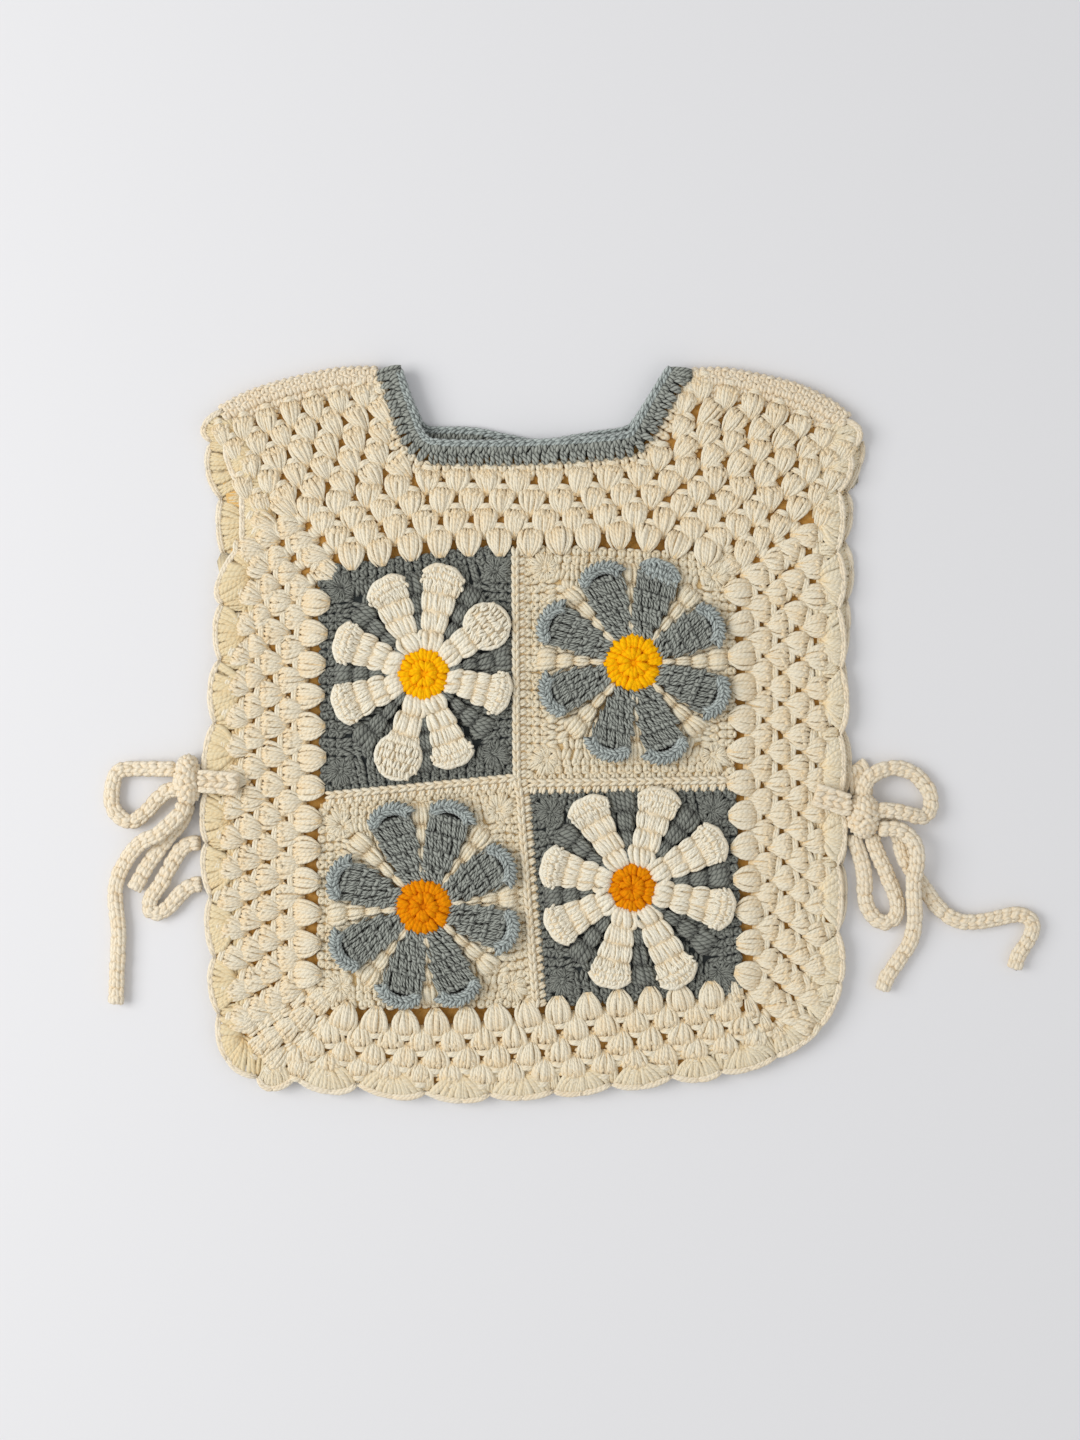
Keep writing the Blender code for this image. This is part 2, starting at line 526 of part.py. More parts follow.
def build_front_field(rim, band):
    """The front's yoke and the borders round the block of squares, mitred at its lower corners."""
    depth = SHELL_DEPTH + SEAM_GAP
    left_top = rim.share_at_height(YOKE_LOWER[0].y, depth, 0.0, 0.30)
    left_neck = rim.share_at_height(NECK_LEVEL, depth, 0.0, 0.12)
    right_top = rim.share_at_height(YOKE_LOWER[-1].y, depth, 1.0, 0.70)
    right_neck = rim.share_at_height(NECK_LEVEL, depth, 1.0, 0.88)
    left_corner, right_corner = rim.share_near(LEFT_CORNER), rim.share_near(RIGHT_CORNER)
    gap = SEAM_GAP / rim.length

    left = along(rim, left_top, left_neck, depth)
    right = along(rim, right_top, right_neck, depth)
    low = traced(YOKE_LOWER, left(0.0)[0], right(0.0)[0])
    high = under_band(band, NECK_LEVEL, left(1.0)[0], right(1.0)[0])
    wall("front_yoke", "cream", (20, YOKE_ROWS * CELLS_PER_ROW), patch(low, high, left, right),
         rows(YOKE_ROWS, FRONT_TOP, False), FRONT_FLOOR)

    outer = along(rim, left_corner - gap, left_top + gap, depth)
    inner = straight(Plan(HEM_UPPER[0].x - SEAM_GAP, HEM_UPPER[0].y + SEAM_GAP), BLOCK_TOP_LEFT)
    place = patch(straight(outer(0.0), inner(0.0)), straight(outer(1.0), inner(1.0)), outer, inner)
    side_cells, side_rows = (SIDE_ROWS * CELLS_PER_ROW, 14), rows(SIDE_ROWS, FRONT_TOP, True)
    wall("front_border_left", "cream", side_cells, place, side_rows, FRONT_FLOOR)

    outer = along(rim, right_corner + gap, right_top - gap, depth)
    inner = straight(Plan(HEM_UPPER[-1].x + SEAM_GAP, HEM_UPPER[-1].y + SEAM_GAP), BLOCK_TOP_RIGHT)
    place = patch(straight(inner(0.0), outer(0.0)), straight(inner(1.0), outer(1.0)), inner, outer)
    wall("front_border_right", "cream", side_cells, place, side_rows, FRONT_FLOOR)

    outer = along(rim, left_corner + gap, right_corner - gap, depth)
    inner = traced(HEM_UPPER, HEM_UPPER[0].x, HEM_UPPER[-1].x)
    place = patch(outer, inner, straight(outer(0.0), inner(0.0)), straight(outer(1.0), inner(1.0)))
    hem_cells, hem_rows = (20, HEM_ROWS * CELLS_PER_ROW), rows(HEM_ROWS, FRONT_TOP, False)
    wall("front_border_hem", "cream", hem_cells, place, hem_rows, FRONT_FLOOR)


def build_back_panel(rim, band):
    """The back below its neckline. It is covered by the front and rests flat, so it is plain."""
    depth = SHELL_DEPTH + SEAM_GAP
    neck_level = NECK_LEVEL + BACK_NECK_RISE
    left_neck = rim.share_at_height(neck_level, depth, 0.0, 0.12)
    right_neck = rim.share_at_height(neck_level, depth, 1.0, 0.88)
    left_corner, right_corner = rim.share_near(LEFT_CORNER), rim.share_near(RIGHT_CORNER)
    left = along(rim, left_corner, left_neck, depth)
    right = along(rim, right_corner, right_neck, depth)
    low = along(rim, left_corner, right_corner, depth)
    high = under_band(band, neck_level, left(1.0)[0], right(1.0)[0])
    wall("back_panel", "cream", (32, 60), patch(low, high, left, right), level(WALL), 0.0, flat_sides=2)


def build_neckband(name, band, floor, top, flat_sides):
    """A band of posts round the neck, with a chain standing up along its free edge."""

    def place(u, v):
        return band.at(u, lerp(-BAND_WIDTH / 2, BAND_WIDTH / 2, v))

    def height(u, v):
        return top + (BAND_CHAIN_RISE if v > 0.9 and flat_sides == 1 else 0.0)

    wall(name, "slate", (32, 3), place, height, floor, flat_sides)


def build_fold(name, colour, fold, width, side, steps_along):
    """A strip folded over a shoulder, from the front's upper side round to the back's."""
    inward = 1.0 if side == "left" else -1.0
    radius = (WALL + LAYER_GAP) / 2
    middle = WALL / 2 + radius
    flat = width - radius - WALL / 2
    turns = np.linspace(pi / 2, -pi / 2, 5)
    section = [(0.0, radius)]
    section += [(flat + radius * cos(turn), radius * sin(turn)) for turn in turns]
    section += [(0.0, -radius)]
    steps = len(section) - 1
    bm = bmesh.new()
    bmesh.ops.create_grid(bm, x_segments=steps_along, y_segments=steps, size=0.5)
    for vert in bm.verts:
        reach, rise = section[round((vert.co.y + 0.5) * steps)]
        x, y = fold.at(vert.co.x + 0.5, inward * (width - reach))
        vert.co = (x, y, middle + rise)
    if side == "left":
        bmesh.ops.reverse_faces(bm, faces=bm.faces)
    obj = finish(name, bm, colour)
    shell = obj.modifiers.new("thickness", "SOLIDIFY")
    shell.thickness = WALL
    shell.offset = 0.0


def square_edge(corners, share):
    """A point on a square's outline, by its share of the way round from the right middle, anti-clockwise."""
    top_left, top_right, low_right, low_left = (np.array(tuple(c)) for c in corners)
    stops = [lerp(low_right, top_right, 0.5), top_right, lerp(top_right, top_left, 0.5), top_left,
             lerp(top_left, low_left, 0.5), low_left, lerp(low_left, low_right, 0.5), low_right]
    step = share * 8 % 8
    first = int(step)
    return lerp(stops[first], stops[(first + 1) % 8], step - first)


def build_square(square):
    """A granny square's ground: flat at its rim, with eight spokes raised between the petals."""
    centre = np.array(tuple(square.centre))
    offsets = (-SPOKE_FOOT, -SPOKE_ANGLE, SPOKE_ANGLE, SPOKE_FOOT, PETAL_TURN / 2)
    angles = [PETAL_TURN * k + offset for k in range(PETALS) for offset in offsets]
    stations, rings = len(angles), len(GROUND_RINGS) - 1

    def place(u, v):
        angle = angles[round(u * stations) % stations]
        ring = GROUND_RINGS[round(v * rings)]
        edge = square_edge(square.corners, angle / 360 % 1.0)
        if ring == 1.0:
            return edge
        turned = radians(angle + square.turn)
        heading = np.array((cos(turned), sin(turned)))
        reach = 1 / hypot(heading[0] / square.reach_x, heading[1] / square.reach_y)
        return centre + heading * ring * min(reach, np.linalg.norm(edge - centre))

    def height(u, v):
        on_top = offsets[round(u * stations) % len(offsets)] in (-SPOKE_ANGLE, SPOKE_ANGLE)
        raised = on_top and GROUND_RINGS[round(v * rings)] in SPOKE_RINGS
        return FRONT_TOP + (SPOKE_RISE if raised else 0.0)

    wall(f"square_{square.name}", square.ground, (stations, rings), place, height, FRONT_FLOOR)


def petal_rows(square, heading):
    """How far out each row of a petal lies, its half width, and how high its upper side stands."""
    reach = 1 / hypot(cos(heading) / square.reach_x, sin(heading) / square.reach_y)
    body = reach - PETAL_RIM
    root = square.heart_radius + RING_WIDTH
    return ((lerp(root, body, 0.45), lerp(PETAL_ROOT, PETAL_TIP, 0.50), PETAL_RISE),
            (body, PETAL_TIP, PETAL_RIM_RISE),
            (reach, PETAL_TIP * 0.62, PETAL_RIM_RISE * 0.8))


def build_daisy(square):
    """Eight petals round a ring. Each widens outwards and turns its tip up."""
    inner = square.heart_radius + SEAM_GAP
    outer = inner + RING_WIDTH
    bm = bmesh.new()
    rise_of = bm.verts.layers.float.new("rise")
    bmesh.ops.create_circle(bm, segments=PETALS * len(PETAL_ACROSS), radius=inner)
    bm.verts.ensure_lookup_table()
    ring = bm.verts[:]
    for step, vert in enumerate(ring):
        petal, share = divmod(step, len(PETAL_ACROSS))
        middle = radians(PETAL_TURN * (petal + 0.5) + square.turn)
        angle = middle + PETAL_ACROSS[share] * PETAL_ROOT / outer
        vert.co = (inner * cos(angle), inner * sin(angle), HEART_FLOOR)
        vert[rise_of] = RING_RISE
    made = bmesh.ops.extrude_edge_only(bm, edges=bm.edges[:])["geom"]
    fresh = [item for item in made if isinstance(item, bmesh.types.BMVert)]
    ring = [min(fresh, key=lambda v: (v.co - old.co).length) for old in ring]
    for vert in ring:
        vert.co.x *= outer / inner
        vert.co.y *= outer / inner
        vert.co.z = PETAL_FLOOR
    for petal in range(PETALS):
        heading = radians(PETAL_TURN * (petal + 0.5) + square.turn + square.leans[petal])
        row = ring[petal * len(PETAL_ACROSS): (petal + 1) * len(PETAL_ACROSS)]
        for reach, width, rise in petal_rows(square, heading):
            edges = [bm.edges.get((a, b)) for a, b in zip(row, row[1:])]
            made = bmesh.ops.extrude_edge_only(bm, edges=edges)["geom"]
            fresh = [item for item in made if isinstance(item, bmesh.types.BMVert)]
            row = [min(fresh, key=lambda v: (v.co - old.co).length) for old in row]
            for vert, share in zip(row, PETAL_ACROSS):
                drawn_in = share * share * PETAL_RIM * 0.5 if rise > PETAL_RISE else 0.0
                forward, aside = reach - drawn_in, width * share
                vert.co.x = forward * cos(heading) - aside * sin(heading)
                vert.co.y = forward * sin(heading) + aside * cos(heading)
                vert.co.z = PETAL_FLOOR
                vert[rise_of] = rise * (1.0 - PETAL_CROWN * share * share)
    for vert in bm.verts:
        vert.co.x += square.centre.x
        vert.co.y += square.centre.y
    thicken(bm, lambda vert: vert.co.z + vert[rise_of], flat_sides=0)
    finish(f"daisy_{square.name}", bm, square.petals)


def build_heart(square):
    """The daisy's centre: a low dome on the ground."""

    def place(u, v):
        angle = 2 * pi * u
        radius = square.heart_radius * v
        return square.centre.x + radius * cos(angle), square.centre.y + radius * sin(angle)

    def height(u, v):
        return HEART_FLOOR + HEART_RISE * (1.0 - HEART_CROWN * v**3)

    wall(f"heart_{square.name}", square.heart, (18, 2), place, height, HEART_FLOOR)


def build_ridge(name, points, width, steps):
    line = Line(points)

    def place(u, v):
        return line.at(u, lerp(-width / 2, width / 2, v))

    def height(u, v):
        return FRONT_TOP + RIDGE_RISE * sin(pi * v)

    wall(name, "cream", (steps, 4), place, height, FRONT_FLOOR)


def build_cord(name, points, width, height):
    """A flat cord on a smooth curve, lying on its broad side."""
    spread = np.diff(np.array([tuple(p) for p in points]), axis=0)
    count = max(3, round(np.linalg.norm(spread, axis=1).sum() / CORD_STEP) + 1)
    path = smooth_path(points, count, CORD_RUN_IN)
    data = bpy.data.curves.new(name, "CURVE")
    data.dimensions = "3D"
    data.bevel_depth = height / 2
    data.extrude = (width - height) / 2
    data.bevel_resolution = 2
    data.use_fill_caps = True
    data.render_resolution_u = 0
    spline = data.splines.new("POLY")
    spline.points.add(len(path) - 1)
    for control, place in zip(spline.points, path):
        control.co = (*place, 1.0)
        control.tilt = pi / 2
    return add_node(name, data, "cream")


def build_knot(name, knot):
    bm = bmesh.new()
    bmesh.ops.create_cube(bm, size=1.0)
    for vert in bm.verts:
        vert.co = [c + v * s for c, v, s in zip(knot.centre, vert.co, knot.size)]
    bmesh.ops.bevel(
        bm, geom=bm.edges[:], offset=KNOT_ROUNDING, segments=2, profile=0.5, affect="EDGES", material=-1
    )
    finish(name, bm, "cream")


def build_vest():
    folds = Line(LEFT_FOLD), Line(RIGHT_FOLD)
    front_rim, back_rim = rim_line(FRONT_RIM, folds), rim_line(BACK_RIM, folds)
    front_band, back_band = Line(FRONT_BAND), Line(BACK_BAND)

    build_back_panel(back_rim, back_band)
    build_edging("back", back_rim, folds, 0.0, WALL, 0.0, flat_sides=2)
    build_neckband("back_neckband", back_band, 0.0, WALL, flat_sides=2)
    build_front_field(front_rim, front_band)
    build_edging("front", front_rim, folds, FRONT_FLOOR, FRONT_TOP, SHELL_RISE, flat_sides=1)
    build_neckband("front_neckband", front_band, FRONT_FLOOR, FRONT_TOP, flat_sides=1)
    for side, fold in zip(("left", "right"), folds):
        build_shoulder("front", side, front_rim, fold, front_band, NECK_LEVEL, FRONT_FLOOR, FRONT_TOP, 1)
        build_shoulder("back", side, back_rim, fold, back_band, NECK_LEVEL + BACK_NECK_RISE, 0.0, WALL, 2)
        build_fold(f"shoulder_seam_{side}", "cream", fold, SEAM_WIDTH, side, 8)
    build_fold("neckband_fold_left", "slate", Line(LEFT_BAND_FOLD), BAND_FOLD_WIDTH, "left", 2)
    build_fold("neckband_fold_right", "slate", Line(RIGHT_BAND_FOLD), BAND_FOLD_WIDTH, "right", 2)

    for square in SQUARES:
        build_square(square)
        build_daisy(square)
        build_heart(square)
    build_ridge("ridge_upright", UPRIGHT_RIDGE, UPRIGHT_WIDTH, 20)
    build_ridge("ridge_left", LEFT_RIDGE, RIDGE_WIDTH, 4)
    build_ridge("ridge_right", RIGHT_RIDGE, RIDGE_WIDTH, 4)

    for side, knot in KNOTS.items():
        build_knot(f"knot_{side}", knot)
    for name, points in TABS.items():
        build_cord(name, points, TAB_WIDTH, TAB_HEIGHT)
    for name, points in CORDS.items():
        build_cord(name, points, CORD_WIDTH, CORD_HEIGHT)


clear_scene()
vest, origin = new_vest()
build_vest()
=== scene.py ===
# %% [markdown]
# # A child's crocheted vest, laid flat
#
# The vest is a tabard: a front and a back panel that are joined at the shoulders and tied at the sides. It
# is crocheted, so everything that shows is yarn: clusters, fans, posts, chains and daisies that stand
# proud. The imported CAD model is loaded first. It gives every piece its place, and each piece here dresses
# one of its solids.

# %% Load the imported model
import math

import bmesh
import bpy
import numpy as np
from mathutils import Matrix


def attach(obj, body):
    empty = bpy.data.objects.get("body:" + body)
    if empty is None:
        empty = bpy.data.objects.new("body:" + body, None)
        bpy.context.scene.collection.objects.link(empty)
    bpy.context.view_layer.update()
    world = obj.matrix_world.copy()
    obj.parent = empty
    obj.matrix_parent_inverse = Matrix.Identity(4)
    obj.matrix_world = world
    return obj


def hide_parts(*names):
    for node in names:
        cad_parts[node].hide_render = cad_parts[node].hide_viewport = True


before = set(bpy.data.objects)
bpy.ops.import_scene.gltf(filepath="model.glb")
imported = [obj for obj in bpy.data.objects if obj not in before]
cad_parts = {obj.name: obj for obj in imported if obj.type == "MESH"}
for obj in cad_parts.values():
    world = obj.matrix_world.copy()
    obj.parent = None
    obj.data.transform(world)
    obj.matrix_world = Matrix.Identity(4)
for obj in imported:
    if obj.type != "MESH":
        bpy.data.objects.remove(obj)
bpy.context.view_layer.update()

# %% [markdown]
# ## Where things are
#
# The vest's plan is given in metres, with X to the right and Y towards the neck, as the solids have it.
# Stitches are also placed on the photograph, which looks straight down: one of its pixels is 0.48 mm
# there. Either way a place becomes a pair of metres in the frame of the solids.

# %% Places in the plan
MIDDLE = np.array((0.0002, -0.0004))     # the plan's point that the origin stands under
PIXEL = 0.00048
rng = np.random.default_rng(12)


def plan(x, y):
    return np.array((x, y)) - MIDDLE


def seen(x, y):
    """A place in the photograph, in metres."""
    return plan((x - 532.5) * PIXEL, (733.5 - y) * PIXEL)


def smooth_path(points, count):
    """A smooth curve through the points, read at even distances."""
    knots = np.array(points, float)
    run = np.vstack([2 * knots[0] - knots[1], knots, 2 * knots[-1] - knots[-2]])
    t = np.linspace(0, 1, 24, endpoint=False)[:, None]
    stretches = []
    for a, b, c, d in zip(run, run[1:], run[2:], run[3:]):
        cubic = (3 * b - a - 3 * c + d) * t**3
        square = (2 * a - 5 * b + 4 * c - d) * t**2
        stretches.append(0.5 * (2 * b + (c - a) * t + square + cubic))
    fine = np.vstack(stretches + [knots[-1:]])
    length = np.r_[0, np.cumsum(np.linalg.norm(np.diff(fine, axis=0), axis=1))]
    wanted = np.linspace(0, length[-1], count)
    return np.column_stack([np.interp(wanted, length, column) for column in fine.T])


def turned(vector):
    """A vector in plan, turned a quarter to the left."""
    return np.array((-vector[1], vector[0]))


def unit(vectors):
    """The same directions, each one long."""
    return vectors / np.linalg.norm(vectors, axis=-1, keepdims=True)


def length_of(route):
    return float(np.linalg.norm(np.diff(route, axis=0), axis=1).sum())


class Line:
    """A smooth line in plan, read by a share of its length and a distance to its left."""

    def __init__(self, points, samples=400):
        self.points = smooth_path(points, samples)
        along = unit(np.gradient(self.points, axis=0))
        self.lefts = np.column_stack([-along[:, 1], along[:, 0]])
        self.shares = np.linspace(0, 1, samples)
        self.length = length_of(self.points)

    def at(self, share, aside=0.0):
        x, y = (np.interp(share, self.shares, column) for column in self.points.T)
        left_x, left_y = (np.interp(share, self.shares, column) for column in self.lefts.T)
        return np.stack((x + left_x * aside, y + left_y * aside), axis=-1)


print("the photograph's middle:", seen(540, 720))

# %% [markdown]
# ## The camera
#
# The photograph was taken from straight above. A camera that looks down -Z with a 50 mm lens does the same.
# Its height makes one pixel of a picture 1080 wide and 1440 high cover 0.48 mm at the height of the
# stitches.

# %% Camera
LENS = 50.0
SENSOR = 36.0
PICTURE_HEIGHT = 1440 * PIXEL
STITCH_LEVEL = 0.0070

camera_data = bpy.data.cameras.new("camera_above")
camera_data.lens = LENS
camera_data.sensor_width = SENSOR
camera = bpy.data.objects.new("camera_above", camera_data)
camera_middle = seen(540, 720)
camera.location = (camera_middle[0], camera_middle[1], PICTURE_HEIGHT * LENS / SENSOR + STITCH_LEVEL)
bpy.context.scene.collection.objects.link(camera)
bpy.context.scene.camera = camera
print("camera height:", round(camera.location.z, 4))

# %% [markdown]
# ## Yarn
#
# A strand of yarn is a round thread of two plies twisted together. A curve object per strand would be slow
# to handle, because a vest has thousands. So one short closed tube is made once with operators, a cone
# primitive with equal radii that is cut into rings, and its corners are then laid along the path of each
# strand. All strands of a piece are joined in one mesh. The tube keeps a UV map that runs along and around
# the strand, and the twist is drawn on it later.

# %% The blank strand
def blank_strand(stations, sides):
    """A closed tube of radius 1, from 0 to 1 on Z. It's told as numbers, so that a strand can be laid from it."""
    bm = bmesh.new()
    bmesh.ops.create_cone(bm, cap_ends=True, segments=sides, radius1=1, radius2=1, depth=1)
    bmesh.ops.translate(bm, verts=bm.verts, vec=(0, 0, 0.5))
    for cut in range(1, stations - 1):
        everything = bm.verts[:] + bm.edges[:] + bm.faces[:]
        level = cut / (stations - 1)
        bmesh.ops.bisect_plane(bm, geom=everything, plane_co=(0, 0, level), plane_no=(0, 0, 1))
    bm.verts.index_update()
    corners = np.array([tuple(v.co) for v in bm.verts])
    rings = np.round(corners[:, 2] * (stations - 1)).astype(int)
    around = np.arctan2(corners[:, 1], corners[:, 0]) / (2 * math.pi) % 1.0
    faces = [[v.index for v in face.verts] for face in bm.faces]
    bm.free()
    loop_rings, loop_around = [], []
    for face in faces:
        turns = around[face]
        if turns.max() - turns.min() > 0.5 and len(face) == 4:
            turns = np.where(turns < 0.5, turns + 1.0, turns)
        loop_rings.extend(rings[face])
        loop_around.extend(turns)
    return {
        "stations": stations,
        "rings": rings,
        "cos": np.cos(around * 2 * math.pi),
        "sin": np.sin(around * 2 * math.pi),
        "faces": faces,
        "loop_rings": np.array(loop_rings),
        "loop_around": np.array(loop_around),
    }


LONG = 7
SHORT = 5
BLANKS = {LONG: blank_strand(LONG, 5), SHORT: blank_strand(SHORT, 4)}
T_LONG = np.linspace(0, 1, LONG)          # how far along a strand each of its rings is
T_SHORT = np.linspace(0, 1, SHORT)
SWELL = np.sin(math.pi * T_SHORT)         # nothing at both ends of a short strand, and 1 in its middle
print("faces of a strand:", {stations: len(blank["faces"]) for stations, blank in BLANKS.items()})

# %% Laying strands
END_TAPER = {
    LONG: np.array((0.60, 0.92, 1, 1, 1, 0.92, 0.60)),
    SHORT: np.array((0.6, 0.97, 1, 0.97, 0.6)),
}
UP = np.array((0.0, 0.0, 1.0))
COARSE_SWELL = 1.06        # a tube of four sides is this much wider, to fill what one of five sides does


def fewer_rings(values):
    """What a long strand has at its seven rings, as a short one has it at its five."""
    values = np.asarray(values, float)
    if values.ndim == 0:
        return values
    early, late = (values[1] + values[2]) / 2, (values[4] + values[5]) / 2
    return np.stack((values[0], early, values[3], late, values[6]))


class Yarn:
    """Collects the strands of one piece, and joins them in one mesh."""

    def __init__(self, core_deep=0.45, coarse=False):
        self.strands = {LONG: [], SHORT: []}
        self.core_deep = core_deep
        self.coarse = coarse            # a piece that hardly shows is made of strands with fewer rings

    def lay(self, path, width, height=None, up=UP, tone=None, deep=None):
        """A strand along path, one row a station. width and height are half measures at each station."""
        if self.coarse and len(path) == LONG:
            path, width = fewer_rings(path), fewer_rings(width) * COARSE_SWELL
            height = None if height is None else fewer_rings(height) * COARSE_SWELL
            deep = None if deep is None else fewer_rings(deep)
        stations = len(path)
        taper = END_TAPER[stations]
        tone = rng.uniform(0, 1) if tone is None else tone
        half_width = np.broadcast_to(width, (stations,)) * taper
        half_height = half_width if height is None else np.broadcast_to(height, (stations,)) * taper
        # The last value of each strand goes to the shade UV map: painted shade, from 0 for the full shade colour
        # to 1 for the lit colour.
        deep = np.linspace(0, 1, stations) if deep is None else np.broadcast_to(deep, (stations,))
        self.strands[stations].append((path, half_width, half_height, up, tone, deep))

    def over(self, place, level, width, height=None, **more):
        """A strand over places in plan, at one level or at a level for each."""
        levels = np.broadcast_to(level, (len(place),))
        self.lay(np.column_stack((place, levels)), width, height, **more)

    def core(self, place, level, width, height, deep=None):
        """A flat strand under others, which closes the gaps between them. It is painted darker, as shade."""
        self.over(place, level, width, height, tone=0.5, deep=self.core_deep if deep is None else deep)

    def mesh(self, name):
        verts, faces, along, around, tones, deeps, used = [], [], [], [], [], [], 0
        for stations, strands in self.strands.items():
            if not strands:
                continue
            blank = BLANKS[stations]
            paths, widths, heights, ups, tone, deep = (np.array(column) for column in zip(*strands))
            forward = np.gradient(paths, axis=1)
            forward /= np.linalg.norm(forward, axis=2, keepdims=True) + 1e-12
            side = np.cross(np.broadcast_to(ups[:, None, :], forward.shape), forward)
            side /= np.linalg.norm(side, axis=2, keepdims=True) + 1e-12
            out = np.cross(forward, side)
            ring = blank["rings"]
            across = side[:, ring] * (widths[:, ring] * blank["cos"])[:, :, None]
            outward = out[:, ring] * (heights[:, ring] * blank["sin"])[:, :, None]
            corners = paths[:, ring] + across + outward
            verts.append(corners.reshape(-1, 3))
            per_strand = len(ring)
            for start in range(used, used + per_strand * len(strands), per_strand):
                faces.extend([[start + v for v in face] for face in blank["faces"]])
            used += per_strand * len(strands)
            steps = np.linalg.norm(np.diff(paths, axis=1), axis=2)
            lengths = np.concatenate([np.zeros((len(strands), 1)), np.cumsum(steps, axis=1)], axis=1)
            lengths += (tone * 0.01)[:, None]
            along.append(lengths[:, blank["loop_rings"]].ravel())
            around.append(np.tile(blank["loop_around"], len(strands)))
            tones.append(np.repeat(tone, len(blank["loop_rings"])))
            deeps.append(deep[:, blank["loop_rings"]].ravel())
        mesh = bpy.data.meshes.new(name)
        mesh.from_pydata(np.concatenate(verts), [], faces)
        mesh.polygons.foreach_set("use_smooth", np.ones(len(faces), bool))
        for layer, first, second in (("lie", along, around), ("shade", tones, deeps)):
            uv = mesh.uv_layers.new(name=layer)
            places = np.column_stack((np.concatenate(first), np.concatenate(second)))
            uv.data.foreach_set("uv", places.ravel())
        mesh.update()
        return mesh


def finished(bm, name):
    mesh = bpy.data.meshes.new(name)
    bm.to_mesh(mesh)
    bm.free()
    return mesh


def smooth_core(bm, name):
    """A smooth mesh that isn't made of strands, with one level of painted shade all over in the same two UV maps.
    """
    mesh = finished(bm, name)
    mesh.polygons.foreach_set("use_smooth", np.ones(len(mesh.polygons), bool))
    for layer, value in (("lie", (0.0, 0.0)), ("shade", (0.5, 0.8))):
        uv = mesh.uv_layers.new(name=layer)
        uv.data.foreach_set("uv", np.tile(value, len(uv.data)))
    return mesh


def add_piece(name, mesh, material, *nodes):
    """Puts a mesh in the scene as a piece of the vest that stands for the CAD nodes named."""
    mesh.materials.append(material)
    piece = bpy.data.objects.new(name, mesh)
    bpy.context.scene.collection.objects.link(piece)
    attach(piece, "root")
    if nodes:
        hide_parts(*nodes)
    mesh.calc_loop_triangles()
    print(name, len(mesh.loop_triangles), "triangles")
    return piece


def add_yarn(name, yarn, material, *nodes):
    return add_piece(name, yarn.mesh(name), material, *nodes)


# %% [markdown]
# ## How the yarn looks
#
# Three things make yarn read as yarn: the twist of its plies, a faint fuzz of fibres, and painted shade: the
# colour is mixed towards a deeper, warmer shade colour where a strand dips between its neighbours and in
# the grooves between its plies. The group below gives all three from the strand's own UV maps and from
# Object coordinates. It puts out a colour and a height, and each material has its own shader around it.

# %% The yarn group
def group_socket(group, name, direction, kind, value=None):
    socket = group.interface.new_socket(name=name, in_out=direction, socket_type=kind)
    if value is not None:
        socket.default_value = value


